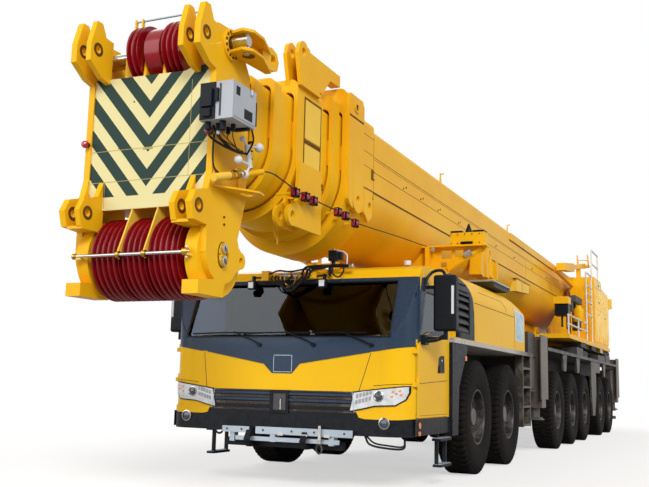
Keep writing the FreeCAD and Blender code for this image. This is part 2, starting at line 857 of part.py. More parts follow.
def grille():
    # Three bars across the front panel, joined by a post behind a square frame
    clear = block(cab_front_x - 120, cab_front_x + 60, -grille_half_width, grille_half_width, 0, 1200)
    bars = []
    for z in (800.0, 870.0, 940.0):
        bars.append(cab_plan(-14, z, z + 40).cut(cab_plan(-seat_clearance, z - 1, z + 41)).common(clear))
    frame = block(cab_front_x - 4, cab_front_x + 16, -100, 100, bumper_top - 10, 985)
    bars.append(frame.cut(cab_plan(-seat_clearance, 700, 1000)))
    return bars


def recovery_frame():
    # Two lugs with holes and a cross tube below the bumper
    pieces = []
    high, low = cab_bottom - 90, cab_bottom - 170
    for y in (-330.0, 330.0):
        lug = side_plate([(cab_front_x - 160, cab_bottom + 60), (cab_front_x + 60, cab_bottom + 20),
                          (cab_front_x + 130, high), (cab_front_x + 60, low), (cab_front_x - 160, low)],
                         y - 30, y + 30)
        pieces.append(lug.cut(rod_y(40, cab_front_x + 55, high - 5, y - 31, y + 31)))
    pieces.append(block(cab_front_x - 160, cab_front_x - 60, -700, 700, low, high))
    return pieces


def front_bumper():
    # A bowed bumper under the front panel
    front = block(cab_front_x - 200, cab_front_x + 50, -cab_half_width - 20, cab_half_width + 20, 0, 1000)
    body = cab_plan(-10, cab_bottom - 10, bumper_top).common(front)
    body = body.cut(cab_plan(100, cab_bottom - 20, bumper_top + 10))
    mounting = block(cab_front_x - 150 + seat_clearance, cab_front_x - 60, -420, 420, cab_frame_bottom + 20,
                     cab_frame_bottom + 130)
    return joined([body, mounting] + grille() + recovery_frame())


def mudguard(side):
    # Behind the door, cut back where the steered tyre swings
    top = deck_bottom - seat_clearance
    rear = cab_rear_x - open_clearance
    return side_plate([(rear, 520), (rear, top), (560, top), (560, 1500), (910, 1080), (960, 520)],
                      *span(side, half_width - 100, half_width - 10))


def cab_step(side):
    # Two treads on a pair of stringers under the door
    top = cab_bottom - seat_clearance
    near, far = cab_half_width - 60, cab_half_width + 40
    pieces = [side_block(side, x, x + 30, near + 10, near + 50, 200, top) for x in (1260.0, 1560.0)]
    for rear, front, z in ((1230.0, 1650.0, 480.0), (1230.0, 1620.0, 200.0)):
        pieces.append(side_block(side, rear, front, near, far, z, z + 26))
    return joined(pieces)


def headlamps():
    lens = cab_plan(-14, headlamp_bottom, headlamp_top)
    lens = lens.cut(cab_plan(-seat_clearance, headlamp_bottom - 1, headlamp_top + 1))
    return [lens.common(side_block(side, door_front_x + 20, cab_front_x + 50, headlamp_inner_y,
                                   cab_half_width + 30, headlamp_bottom - 1, headlamp_top + 1))
            for side in (-1, 1)]


def door_mirror(side):
    # A tall housing outside the door's window, on one arm above and a cranked one below.
    x0, x1 = 1990.0, 2110.0
    housing = side_block(side, x0, x1, mirror_inner_y, mirror_outer_y, mirror_bottom, mirror_top)
    housing = housing.makeFillet(28, housing.Edges)
    root = cab_half_width + seat_clearance
    arm_x0, arm_x1 = x0 + 40, x1 - 40
    stem_y = (mirror_inner_y + mirror_outer_y) / 2
    upper = side_block(side, arm_x0, arm_x1, root, mirror_inner_y + 20, door_top - 44, door_top - 10)
    lower = side_block(side, arm_x0, arm_x1, root, stem_y + 20, mirror_bottom - 90, mirror_bottom - 60)
    stem = side_block(side, arm_x0, arm_x1, stem_y - 20, stem_y + 20, mirror_bottom - 90, mirror_bottom + 10)
    return joined([housing, upper, lower, stem])


def write_front():
    write("bumper_and_steps", front_bumper(), mudguard(1), mudguard(-1), cab_step(1), cab_step(-1))
    write("headlamps", *headlamps())
    write("mirror_left", door_mirror(1))
    write("mirror_right", door_mirror(-1))


# Superstructure

def boom_cheek(side):
    # The tall plate that holds one end of the boom's pivot pin
    foot = platform_bottom + 5
    plate = side_plate(
        [(-13300, foot), (-9100, foot), (-9100, platform_top + 230), (-11900, 3560), (-12150, 3700),
         (-12650, 3700), (-12900, 3560), (-13300, 3000)], *span(side, cheek_inner_y, cheek_outer_y))
    return joined([plate, rod_y(240, pivot_x, pivot_z, *span(side, cheek_inner_y, cheek_outer_y + 40))])


def winch_frame(side):
    foot = platform_bottom + 5
    return side_plate(
        [(-14350, foot), (-13500, foot), (-13500, platform_top + 260), (-14300, 3000), (-14500, 3700),
         (tail_end_x, 3950), (tail_end_x, 3560), (-16650, 2760), (-15000, 2690)],
        *span(side, winch_frame_y, winch_frame_y + winch_frame_thickness))


def luff_foot_lug(side):
    return side_plate(
        [(luff_foot_x - 330, platform_top - 5), (luff_foot_x + 330, platform_top - 5),
         (luff_foot_x + 150, luff_axis_z + 120), (luff_foot_x - 150, luff_axis_z + 120)],
        *span(side, luff_ear_far_y + 10, luff_ear_far_y + 70))


def turntable():
    pieces = [
        rod_z(slew_ring_radius - 20, slew_centre_x, 0, slew_ring_top + slide_clearance, platform_bottom + 5),
        block(-14300, -7700, -900, 900, platform_bottom, platform_top),
        block(-14300, -7500, 850, 1440, platform_bottom, platform_top),
        block(-10500, crane_cab_front_x + 100, -1440, -850, platform_bottom, platform_top),
        block(-14500, -14300, -winch_frame_y - 10, winch_frame_y + 10, 2760, 3600),
        block(tail_end_x, tail_end_x + 160, -tail_half_width, tail_half_width, 3600, 3900),
    ]
    for side in (-1, 1):
        pieces.extend([boom_cheek(side), winch_frame(side), luff_foot_lug(side)])
    whole = joined(pieces)
    # Columns: radius, x, z and half length of the bores for the three cross pins
    for radius, x, z, half in ((pivot_radius, pivot_x, pivot_z, 900.0),
                               (luff_pin_radius, luff_foot_x, luff_axis_z, 300.0),
                               (winch_shaft_radius, winch_x, winch_z, 800.0)):
        whole = whole.cut(rod_y(radius + shaft_clearance, x, z, -half, half))
    return whole


def winch_drum():
    half = winch_half_width
    shaft_end = winch_frame_y + winch_frame_thickness
    pieces = [
        rod_y(winch_core_radius, winch_x, winch_z, -half, half),
        rod_y(winch_shaft_radius, winch_x, winch_z, -shaft_end, shaft_end),
    ]
    for side in (-1, 1):
        pieces.append(rod_y(winch_flange_radius, winch_x, winch_z, *span(side, half - 40, half)))
    return joined(pieces)


def power_cabinet():
    # A tall front part and a lower rear one with upright ribs
    low = platform_top + seat_clearance
    outline = [
        (cabinet_rear_x, low), (cabinet_front_x, low), (cabinet_front_x, 3860),
        (cabinet_front_x - 1250, 3860), (cabinet_front_x - 1400, 3700), (cabinet_rear_x, 3640),
    ]
    pieces = [side_plate(outline, cabinet_inner_y, cabinet_outer_y)]
    for x in range(-13900, -11400, 400):
        pieces.append(block(x, x + 60, cabinet_outer_y - 5, cabinet_outer_y + 25, platform_top + 60, 3600))
    return joined(pieces)


def crane_cab_profile(inset):
    # Side outline of the operator's cab: a raked front with a low nose
    low, top = platform_top + seat_clearance + inset, crane_cab_top - inset
    rear, front = crane_cab_rear_x + inset, crane_cab_front_x - 1.2 * inset
    return [(rear, low), (front, low), (front + 70, 2700 + 0.2 * inset), (front - 250, 3600 - 0.6 * inset),
            (front - 500 + 0.4 * inset, top), (rear, top)]


def crane_cab():
    wall = crane_cab_wall
    outer_y, inner_y = crane_cab_outer_y, crane_cab_inner_y
    shell = side_plate(crane_cab_profile(0), outer_y, inner_y)
    shell = shell.cut(side_plate(crane_cab_profile(wall), outer_y + wall, inner_y - wall))
    screen = [(-7700, 2450), (-6800, 2450), (-6800, 2750), (-7200, 3560), (-7700, 3560)]
    doorway = [(-8000, 2320), (-7160, 2320), (-7100, 2700), (-7400, 3560), (-8000, 3560)]
    shell = shell.cut(side_plate(screen, outer_y + 80, inner_y - 80))
    shell = shell.cut(side_plate(doorway, outer_y - 10, outer_y + 60))
    shell = shell.cut(block(-8700, -7500, inner_y - 60, inner_y + 10, 2800, 3560))
    low = platform_top + seat_clearance + wall
    seat = block(-8450, -7950, -1330, -880, low + seat_clearance, low + 370)
    back = block(-8520, -8400, -1320, -890, low + 350, low + 1050)
    rail = block(crane_cab_rear_x, crane_cab_front_x, outer_y - 16 + slide_clearance, outer_y + 1, 3560, 3620)
    return [joined([shell, rail]), joined([seat, back])]


def crane_cab_door():
    near, far = crane_cab_outer_y - 44, crane_cab_outer_y - 16
    panel = block(-8020, -7180, near, far, 2300, 3640)
    return panel.cut(block(-7930, -7330, near - 1, far + 1, 2750, 3560))


def handrails():
    # A low guard and a tall ladder frame on the platform's edge, and rails folded on the cabinet's roof
    foot = platform_top + seat_clearance
    y, r = handrail_y, handrail_radius
    posts = [bar(r, (x, y, foot), (x, y, top))
             for x, top in ((-11180.0, 3860.0), (-10300.0, 3860.0), (-9000.0, 2640.0), (-7650.0, 2640.0))]
    rails = [bar(r, (-11200, y, z), (-10280, y, z)) for z in (3840.0, 3540.0, 3350.0, 3160.0, 2850.0)]
    rails += [bar(r, (-10320, y, z), (-7630, y, z)) for z in (2620.0, 2430.0)]
    roof_foot = 3860.0 + seat_clearance
    roof = [bar(r, (x, y - 20, roof_foot), (x, y - 20, 4560)) for x in (-11450.0, -12600.0)]
    roof += [bar(r, (-12620, y - 20, z), (-11430, y - 20, z)) for z in (4540.0, 4200.0)]
    return [joined(posts + rails), joined(roof)]


# Boom

def shell_outline(w, top, x0, x1, drop=0.0):
    # Flat top and sides above a round belly, which may hang lower than a half circle.
    z = shell_centre_z
    r = shell_corner
    m = r * (1 - math.sqrt(0.5))
    a, b = Vector(x0, -w, z), Vector(x0, -w, top - r)
    c, d = Vector(x0, -w + r, top), Vector(x0, w - r, top)
    e, f = Vector(x0, w, top - r), Vector(x0, w, z)
    edges = [
        Part.makeLine(a, b), Part.Arc(b, Vector(x0, -w + m, top - m), c).toShape(), Part.makeLine(c, d),
        Part.Arc(d, Vector(x0, w - m, top - m), e).toShape(), Part.makeLine(e, f),
        Part.Arc(f, Vector(x0, 0, z - w - drop), a).toShape(),
    ]
    return Part.Face(Part.Wire(edges)).extrude(Vector(x1 - x0, 0, 0))


def section_size(index):
    return base_half_width - section_step * index, base_top - section_step * index


def boom_tube(index, front_x):
    w, top = section_size(index)
    rear = base_rear_x if index == 0 else inner_rear_x + inner_rear_step * (index - 1)
    outer = shell_outline(w, top, rear, front_x)
    return outer.cut(shell_outline(w - tube_wall, top - tube_wall, rear - 1, front_x + 1))


def collar_pads(index, rear_x, front_x):
    # Sliding pads in the collar, at the sides and on top of the next section
    next_w, next_top = section_size(index + 1)
    seat, fit = collar_bore_gap + 1, slide_clearance
    pads = []
    for side in (-1, 1):
        pads.append(side_block(side, rear_x + 20, front_x - 20, next_w + fit, next_w + seat,
                               shell_centre_z + 60, shell_centre_z + 330))
        pads.append(side_block(side, rear_x + 20, front_x - 20, 120, next_w - 140,
                               next_top + fit, next_top + seat))
    return pads


def boom_collar(index, extras=()):
    rear_x, front_x, top, drop = collars[index]
    w = section_size(index)[0]
    next_w, next_top = section_size(index + 1)
    outer = shell_outline(w + collar_side_growth, top, rear_x, front_x, drop)
    bore = shell_outline(next_w + collar_bore_gap, next_top + collar_bore_gap, rear_x - 1, front_x + 1)
    ring = joined([outer] + list(extras)).cut(bore)
    return joined([ring] + collar_pads(index, rear_x, front_x))


def base_collar_extras():
    # Lugs low on the collar's sides, each with a bracket behind it, and a hole high in each side
    rear_x = collars[0][0]
    face = base_half_width + collar_side_growth
    pieces = []
    for side in (-1, 1):
        lug = joined([
            rod_y(150, rear_x + 250, 3083, *span(side, face - 10, face + 45)),
            side_block(side, rear_x + 100, rear_x + 400, face - 10, face + 45, 3083, 3500),
        ])
        pieces.append(lug.cut(rod_y(ear_hole_radius, rear_x + 250, 3083, *span(side, face - 11, face + 46))))
        outline = [(rear_x - 180, 3200), (rear_x + 60, 3260), (rear_x + 60, 2980), (rear_x - 60, 2890),
                   (rear_x - 180, 2960)]
        bracket = side_plate(outline, *span(side, face - 6, face + 40))
        hole = rod_y(ear_hole_radius, rear_x - 110, 3080, *span(side, face - 7, face + 41))
        pieces.append(bracket.cut(hole))
    return pieces


def section_ears():
    # Double ears above and below the wide collar, with a box beam running back from the upper pair
    rear_x, front_x, top = collars[ear_collar][:3]
    pieces = []
    for side in (-1, 1):
        upper_hole = (front_x - 40, top + 290)
        lower_hole = (front_x + 105, shell_centre_z - 640)
        for near in (ear_near_y, ear_far_y):
            y = span(side, near, near + ear_thickness)
            upper = joined([
                side_plate([(front_x - 470, top - 60), (front_x, top - 60),
                            (front_x + 90, upper_hole[1] - 40), (front_x - 10, upper_hole[1] + 90),
                            (front_x - 170, upper_hole[1] + 70)], *y),
                rod_y(110, *upper_hole, *y),
            ])
            pieces.append(upper.cut(rod_y(ear_hole_radius, *upper_hole, y[0] - 1, y[1] + 1)))
            reach = rear_x + 60 if near == ear_far_y else front_x - 200
            lower = joined([
                side_plate([(reach, shell_centre_z - 80), (front_x - 20, shell_centre_z - 80),
                            (front_x, shell_centre_z - 470), (lower_hole[0] + 90, lower_hole[1] + 60),
                            (lower_hole[0] + 20, lower_hole[1] - 100), (reach, lower_hole[1] - 100)], *y),
                rod_y(105, *lower_hole, *y),
            ])
            pieces.append(lower.cut(rod_y(ear_hole_radius, *lower_hole, y[0] - 1, y[1] + 1)))
        beam = side_plate([(collars[0][1] - 20, 4300), (collars[0][1] - 20, 4425), (front_x - 170, top + 360),
                           (front_x - 300, top + 20), (rear_x + 30, top + 20), (rear_x - 160, 4290)],
                          *span(side, ear_near_y + ear_thickness - 10, ear_far_y + 10))
        pieces.append(beam)
        # The webs tie each lower pair together and to the collar's side
        pieces.append(side_block(side, front_x - 200, front_x - 170, ear_near_y, ear_far_y + 5,
                                 lower_hole[1] - 100, shell_centre_z - 80))
    return pieces


def luff_ears():
    w, top = section_size(0)
    tube = shell_outline(w + seat_clearance, top, luff_eye_x - 500, luff_eye_x + 500)
    ears = []
    for side in (-1, 1):
        ear = side_plate(
            [(luff_eye_x - 420, 2700), (luff_eye_x + 420, 2700), (luff_eye_x + 150, luff_axis_z - 110),
             (luff_eye_x - 150, luff_axis_z - 110)], *span(side, luff_ear_near_y, luff_ear_far_y))
        ears.append(ear.cut(tube))
    return ears


def boom_bracket(side):
    # A webbed frame that stands out from the belly, with a diagonal strut below its flange
    x0, x1 = bracket_x - bracket_half_depth, bracket_x + bracket_half_depth
    plate = bracket_plate
    reach, flange = bracket_reach_y, bracket_flange_z
    outline = [(300, 2640), (560, flange), (reach, flange), (reach, flange - 40), (1180, 2780), (930, 2640)]
    web = cross_plate([(side * y, z) for y, z in outline], bracket_x - plate / 2, bracket_x + plate / 2)
    # Columns: near y, far y, low z and high z of the openings in the web
    for near, far, low, high in ((840.0, 985.0, 2810.0, 2925.0), (1035.0, 1150.0, 2830.0, 2925.0),
                                 (830.0, 920.0, 2690.0, 2760.0)):
        web = web.cut(side_block(side, x0, x1, near, far, low, high))
    pieces = [
        web,
        side_block(side, x0, x1, 560, reach, flange, flange + plate),
        side_block(side, x0, x1, 400, 930, 2640 - plate, 2640),
        side_block(side, x0, x1, 640, 700, 2630, flange + 5),
        side_block(side, x0 + 30, x1 - 30, 990, 1465, flange + plate - 5, flange + 190),
    ]
    low_end = (bracket_x, side * 930, 2660)
    pieces.append(bar(38, low_end, (bracket_x, side * 1400, flange - 20)))
    cone = Part.makeCone(48, 6, 130, Vector(bracket_x, side * 1225, flange + 185))
    for near, far in ((995.0, 1150.0), (1300.0, 1455.0)):
        pieces.append(side_block(side, x0 + 40, x1 - 40, near, far, flange + 185, flange + 215))
    whole = joined(pieces + [cone])
    return whole.cut(shell_outline(base_half_width + seat_clearance, base_top, x0 - 1, x1 + 1))


def boom_base():
    rear_x = collars[0][0]
    w, top = section_size(0)
    belly = shell_centre_z - w - 10
    tail = side_plate([(base_rear_x - 10, belly), (base_rear_x + 420, belly), (base_rear_x - 10, 3000)],
                      -w - 10, w + 10)
    pin_end = cheek_outer_y + 40
    pin = rod_y(pivot_radius, pivot_x, pivot_z, -pin_end, pin_end)
    strips = [side_block(side, -11000, -5500, w - 2, w + 14, 3880, 4020) for side in (-1, 1)]
    doubler = shell_outline(w + 8, top + 60, rear_x - 330, rear_x - seat_clearance)
    doubler = doubler.cut(shell_outline(w - 1, top - 1, rear_x - 331, rear_x))
    tube = boom_tube(0, rear_x - seat_clearance).cut(tail)
    return [joined([tube, pin, doubler] + strips), boom_collar(0, base_collar_extras())] + luff_ears()


def boom_middle(index):
    rear_x = collars[index][0]
    extras = section_ears() if index == ear_collar else ()
    return [boom_tube(index, rear_x - seat_clearance), boom_collar(index, extras)]


# Head

def ear_outlines():
    # The upper and lower jib ears, which the side plates and the plates inside them share
    front = head_front_plate_x + 20
    upper = [(front, 3600), (front, 3990), (5270, 4000), (5330, 4110), (5400, 4110), (5465, 3900),
             (5465, 3740), (5300, 3630)]
    lower = [(front, 2760), (5250, 2590), (5420, 2545), (5480, 2440), (5440, 2310), (front, 2290)]
    return upper, lower


def head_side_plate(side):
    outline = [
        (head_rear_x + 40, 2600), (head_rear_x + 40, 3700), (4880, 4030), (5200, 4010), (5200, 2760),
        (5240, 2600), (5240, 2080), (4730, 2080), (4753, 2240),
    ]
    y = span(side, head_plate_inner_y, head_plate_inner_y + head_plate_thickness)
    pieces = [side_plate(points, *y) for points in (outline, *ear_outlines())]
    pieces.append(rod_y(262, 4975, 2112, *y))
    pieces.append(rod_y(72, 4675, 2078, *y))
    pieces.append(side_plate([(4675, 2006), (4675, 2150), (4800, 2240), (4900, 1900)], *y))
    whole = joined(pieces)
    return whole.cut(rod_y(ear_hole_radius - 15, 4675, 2078, y[0] - 1, y[1] + 1))


def near_ears(side):
    y = span(side, head_near_ear_y, head_near_ear_y + head_near_ear_thickness)
    pieces = [side_plate(points, *y) for points in ear_outlines()]
    # A floor plate ties the lower pair of ears to the side plate
    pieces.append(side_block(side, head_front_plate_x + 10, 5430, head_near_ear_y, head_plate_inner_y + 5,
                             2290, 2315))
    return pieces


def lower_cheek(side):
    # The round housing outside the last sheave, with a foot below it
    near = head_near_ear_y + head_near_ear_thickness - 10
    far = head_plate_inner_y + 5
    foot = side_plate([(4920, 1900), (5330, 1850), (5330, 1740), (4950, 1740)],
                      *span(side, near + 20, head_plate_inner_y + head_plate_thickness))
    return [rod_y(lower_cheek_radius, lower_axle_x, lower_axle_z, *span(side, near, far)), foot]


def divider_y():
    # Middle of the plate between the middle and the outer grooves
    return middle_groove_count * sheave_pitch / 2 + divider_gap + divider_thickness / 2


def sheave_hanger(side):
    # The plate beside the middle grooves, hung from the head's floor
    y, half = side * divider_y(), divider_thickness / 2
    outline = [(4800, 2560), (5100, 2560), (5100, 2010), (4950, 1960), (4800, 2010)]
    return side_plate(outline, y - half, y + half)


def upper_web(side, top):
    # One of the two webs on the head's roof that carry the upper axle
    rear = head_rear_x
    return side_plate([(rear, 3560), (5160, 3560), (5130, 3990), (4840, 3990), (rear + 40, top), (rear, top)],
                      *span(side, 86, 114))


def control_box():
    # A closed box outside the head's left plate
    near = head_plate_inner_y + head_plate_thickness + seat_clearance
    return block(5060, 5420, near, near + head_box_reach, 3100, 3400)


def boom_head():
    w, top = section_size(5)
    rear, front = head_rear_x, head_front_plate_x
    tie = head_plate_inner_y + 5
    ring = shell_outline(w, top, rear, rear + head_ring_length)
    pieces = [
        ring.cut(shell_outline(w - tube_wall, top - tube_wall, rear - 1, rear + head_ring_length + 1)),
        block(front, front + head_front_plate_thickness, -tie, tie, 2480, 3625),
        block(rear, front + 10, -tie, tie, 3560, 3590),
        block(rear + 20, front, -tie, tie, 2530, 2560),
    ]
    for side in (-1, 1):
        pieces.append(head_side_plate(side))
        pieces.extend(near_ears(side))
        pieces.extend(lower_cheek(side))
        pieces.append(side_block(side, rear, front, w - 3, tie, shell_centre_z + 60, shell_centre_z + 300))
        pieces.append(sheave_hanger(side))
        pieces.append(upper_web(side, top - 2))
    whole = joined(pieces)
    reach = head_plate_inner_y + head_plate_thickness + 20
    # Columns: radius, x and z of the cross bores through the head
    for radius, x, z in ((head_axle_radius + shaft_clearance, lower_axle_x, lower_axle_z),
                         (head_axle_radius + shaft_clearance, upper_axle_x, upper_axle_z),
                         (jib_pin_radius, jib_low_x, jib_low_z), (jib_pin_radius, jib_top_x, jib_top_z)):
        whole = whole.cut(rod_y(radius, x, z, -reach, reach))
    return [boom_tube(5, rear - seat_clearance), whole, control_box()]


def sheave_run(grooves, start, radius, x, z):
    # A row of grooved sheaves on one hub; (radius, width) down the row of rims
    hub = head_axle_radius - 5
    points = [(hub, start)]
    for i in range(grooves):
        y = start + i * sheave_pitch
        points += [(radius, y), (radius, y + sheave_rim),
                   (radius - sheave_groove_depth, y + sheave_pitch / 2),
                   (radius, y + sheave_pitch - sheave_rim)]
    end = start + grooves * sheave_pitch
    points += [(radius, end), (hub, end)]
    return spun(points, x, 0, z)


def head_axle(x, z):
    reach = head_plate_inner_y + head_plate_thickness - 10
    return rod_y(head_axle_radius, x, z, -reach, reach)


def lower_sheaves():
    inner = divider_y() + divider_thickness / 2 + divider_gap
    outer_width = outer_groove_count * sheave_pitch
    middle = middle_groove_count * sheave_pitch
    pieces = [head_axle(lower_axle_x, lower_axle_z)]
    for grooves, start in ((outer_groove_count, -inner - outer_width), (middle_groove_count, -middle / 2),
                           (outer_groove_count, inner)):
        pieces.append(sheave_run(grooves, start, lower_sheave_radius, lower_axle_x, lower_axle_z))
    return joined(pieces)


def upper_sheaves():
    pieces = [head_axle(upper_axle_x, upper_axle_z)]
    for start in (-upper_sheave_outer_y, upper_sheave_outer_y - 2 * sheave_pitch):
        pieces.append(sheave_run(2, start, upper_sheave_radius, upper_axle_x, upper_axle_z))
    return joined(pieces)


# Luffing cylinder

def luff_barrel():
    low_x = luff_foot_x + 330
    high_x = luff_eye_x - 420
    tube = rod_x(barrel_radius, 0, luff_axis_z, low_x, high_x)
    bore = rod_x(rod_radius + shaft_clearance, 0, luff_axis_z, low_x + 60, high_x + 20)
    neck = block(luff_foot_x, low_x + 20, -150, 150, luff_axis_z - 110, luff_axis_z + 110)
    eye = rod_y(150, luff_foot_x, luff_axis_z, -luff_ear_far_y, luff_ear_far_y)
    pin_end = luff_ear_far_y + 80
    pin = rod_y(luff_pin_radius, luff_foot_x, luff_axis_z, -pin_end, pin_end)
    return joined([tube.cut(bore), neck, eye, pin])


def luff_rod():
    rod = rod_x(rod_radius, 0, luff_axis_z, luff_foot_x + 600, luff_eye_x - 60)
    eye = rod_y(luff_eye_half + 5, luff_eye_x, luff_axis_z, -luff_eye_half, luff_eye_half)
    hole = rod_y(luff_pin_radius - 10, luff_eye_x, luff_axis_z, -luff_eye_half - 1, luff_eye_half + 1)
    return joined([rod, eye]).cut(hole)


def write_superstructure():
    write("turntable", turntable())
    write("winch_drum", winch_drum())
    write("power_cabinet", power_cabinet())
    write("crane_cab", *crane_cab())
    write("crane_cab_door", crane_cab_door())
    write("handrails", *handrails())
    write("luff_barrel", luff_barrel())
    write("luff_rod", luff_rod())


def write_boom():
    write("boom_section_1", *boom_base(), boom_bracket(1), boom_bracket(-1))
    for index in range(1, 5):
        write("boom_section_%d" % (index + 1), *boom_middle(index))
    write("boom_section_6", *boom_head())
    write("head_sheaves_lower", lower_sheaves())
    write("head_sheaves_upper", upper_sheaves())


os.makedirs("parts", exist_ok=True)
write_chassis()
write("engine_hood", engine_hood())
write_cab()
write_front()
write_superstructure()
write_boom()
write_running_gear()
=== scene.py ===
import math
import bpy
import bmesh
import numpy as np
from mathutils import Matrix, Vector


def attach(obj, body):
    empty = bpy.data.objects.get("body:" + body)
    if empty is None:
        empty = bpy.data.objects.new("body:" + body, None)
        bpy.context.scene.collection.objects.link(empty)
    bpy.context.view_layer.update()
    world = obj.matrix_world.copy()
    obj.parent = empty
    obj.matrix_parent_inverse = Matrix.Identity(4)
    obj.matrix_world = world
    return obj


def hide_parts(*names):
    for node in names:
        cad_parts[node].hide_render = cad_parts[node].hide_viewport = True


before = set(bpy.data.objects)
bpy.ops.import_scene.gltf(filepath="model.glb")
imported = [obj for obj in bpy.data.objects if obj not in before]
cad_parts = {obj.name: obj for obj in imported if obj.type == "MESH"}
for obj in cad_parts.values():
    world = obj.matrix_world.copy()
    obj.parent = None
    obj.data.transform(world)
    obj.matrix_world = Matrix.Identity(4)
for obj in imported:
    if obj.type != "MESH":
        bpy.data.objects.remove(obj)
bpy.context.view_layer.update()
scene = bpy.context.scene
frontAxle = 6.08  # every shape below is worked out from the middle of the first axle
sides = ((1, "left"), (-1, "right"))
print("frame loaded")

# nodes of a material or of the world, in the node tree net


def fill(net, node, sockets):
    # each socket gets a constant, or a link from another node's output
    for name, value in sockets.items():
        if isinstance(value, bpy.types.NodeSocket):
            net.links.new(value, node.inputs[name])
        elif value is not None:
            node.inputs[name].default_value = (*value, 1) if isinstance(value, tuple) else value


def addNode(net, kind, sockets=(), **settings):
    node = net.nodes.new("ShaderNode" + kind)
    for name, value in settings.items():
        setattr(node, name, value)
    fill(net, node, dict(sockets))
    return node


def calculate(net, operation, first, second=None):
    return addNode(net, "Math", {0: first, 1: second}, operation=operation).outputs[0]


def ramp(net, value, low, high, lowTo=0.0, highTo=1.0):
    ends = {"Value": value, "From Min": low, "From Max": high, "To Min": lowTo, "To Max": highTo}
    return addNode(net, "MapRange", ends).outputs[0]


def noise(net, place, scale, detail=4.0, rough=0.55):
    sockets = {"Vector": place, "Scale": scale, "Detail": detail, "Roughness": rough}
    return addNode(net, "TexNoise", sockets).outputs["Fac"]


def blend(net, amount, first, second):
    return addNode(net, "Mix", {"Factor": amount, "A": first, "B": second}, data_type="RGBA").outputs["Result"]


def bump(net, height, strength, distance):
    sockets = {"Height": height, "Strength": strength, "Distance": distance}
    return addNode(net, "Bump", sockets).outputs["Normal"]


def placeOf(net):
    return addNode(net, "TexCoord").outputs["Object"]


def newMaterial(name, rough=0.5, metal=0.0, coat=0.0, level=0.5):
    material = bpy.data.materials.new(name)
    material.use_nodes = True
    net = material.node_tree
    shader = net.nodes["Principled BSDF"]
    fill(net, shader, {"Roughness": rough, "Metallic": metal, "Coat Weight": coat, "Coat Roughness": 0.1,
                       "Specular IOR Level": level})
    return material, net, shader


# camera, lamps and floor

photo = {"width": 649, "focal": 883.6, "yaw": 24.54, "pitch": 9.087, "roll": 1.375,
         "place": (17.223, 4.377, 1.0585), "sensor": 36}


def placeCamera():
    # looks along the direction given by yaw and pitch, then rolls about it
    yaw, pitch, roll = (math.radians(photo[k]) for k in ("yaw", "pitch", "roll"))
    ahead = Vector((-math.cos(yaw) * math.cos(pitch), -math.sin(yaw) * math.cos(pitch), math.sin(pitch)))
    right = ahead.cross(Vector((0, 0, 1))).normalized()
    up = right.cross(ahead)
    across = math.cos(roll) * right + math.sin(roll) * up
    upward = math.cos(roll) * up - math.sin(roll) * right
    lens = bpy.data.cameras.new("camera")
    lens.sensor_fit = "HORIZONTAL"
    lens.sensor_width = photo["sensor"]
    lens.lens = photo["focal"] / photo["width"] * photo["sensor"]
    lens.clip_end = 300
    camera = bpy.data.objects.new("camera", lens)
    turn = Matrix((across, upward, -ahead)).transposed().to_4x4()
    camera.matrix_world = Matrix.Translation(photo["place"]) @ turn
    scene.collection.objects.link(camera)
    scene.camera = camera


# name, direction that the light comes from, strength, angle in degrees
lamps = (
    ("key", (0.78, 0.5, 0.58), 2.2, 20),
    ("side", (0.1, 0.85, 0.45), 0.85, 50),
    ("front", (0.9, -0.6, 0.3), 1.7, 60),
    ("back", (-0.7, -0.55, 0.6), 0.8, 40),
)
# the white world as the camera and glass see it, as gloss sees it, and as it lights the rest
studio = {"seen": 1.0, "gloss": 0.62, "fill": 0.23}


def lightTheScene():
    for name, source, strength, spread in lamps:
        sun = bpy.data.lights.new(name, "SUN")
        sun.energy = strength
        sun.angle = math.radians(spread)
        lamp = bpy.data.objects.new(name, sun)
        lamp.rotation_euler = Vector(source).to_track_quat("Z", "Y").to_euler()
        scene.collection.objects.link(lamp)
    scene.world = bpy.data.worlds.new("studio")
    scene.world.use_nodes = True
    net = scene.world.node_tree
    rays = addNode(net, "LightPath").outputs
    mirrored = calculate(net, "MULTIPLY", rays["Is Glossy Ray"], studio["gloss"])
    through = calculate(net, "MAXIMUM", mirrored, rays["Is Transmission Ray"])
    level = ramp(net, calculate(net, "MAXIMUM", rays["Is Camera Ray"], through), 0.0, 1.0,
                 studio["fill"], studio["seen"])
    fill(net, net.nodes["Background"], {"Color": (1, 1, 1), "Strength": level})
    scene.view_settings.view_transform = "Standard"


ground = {"half": 90.0, "tone": (0.44, 0.43, 0.42), "glow": 0.56}


def makeFloor():
    half = ground["half"]
    mesh = bpy.data.meshes.new("floor")
    mesh.from_pydata([(-half, -half, 0), (half, -half, 0), (half, half, 0), (-half, half, 0)], [], [(0, 1, 2, 3)])
    floor = bpy.data.objects.new("floor", mesh)
    scene.collection.objects.link(floor)
    material, net, shader = newMaterial("pale_floor", rough=0.9, level=0.1)
    seen = addNode(net, "LightPath").outputs["Is Camera Ray"]
    fill(net, shader, {"Base Color": ground["tone"], "Emission Color": (1, 1, 1),
                       "Emission Strength": calculate(net, "MULTIPLY", seen, ground["glow"])})
    mesh.materials.append(material)


placeCamera()
lightTheScene()
makeFloor()
print("camera, lamps and floor placed")

# materials


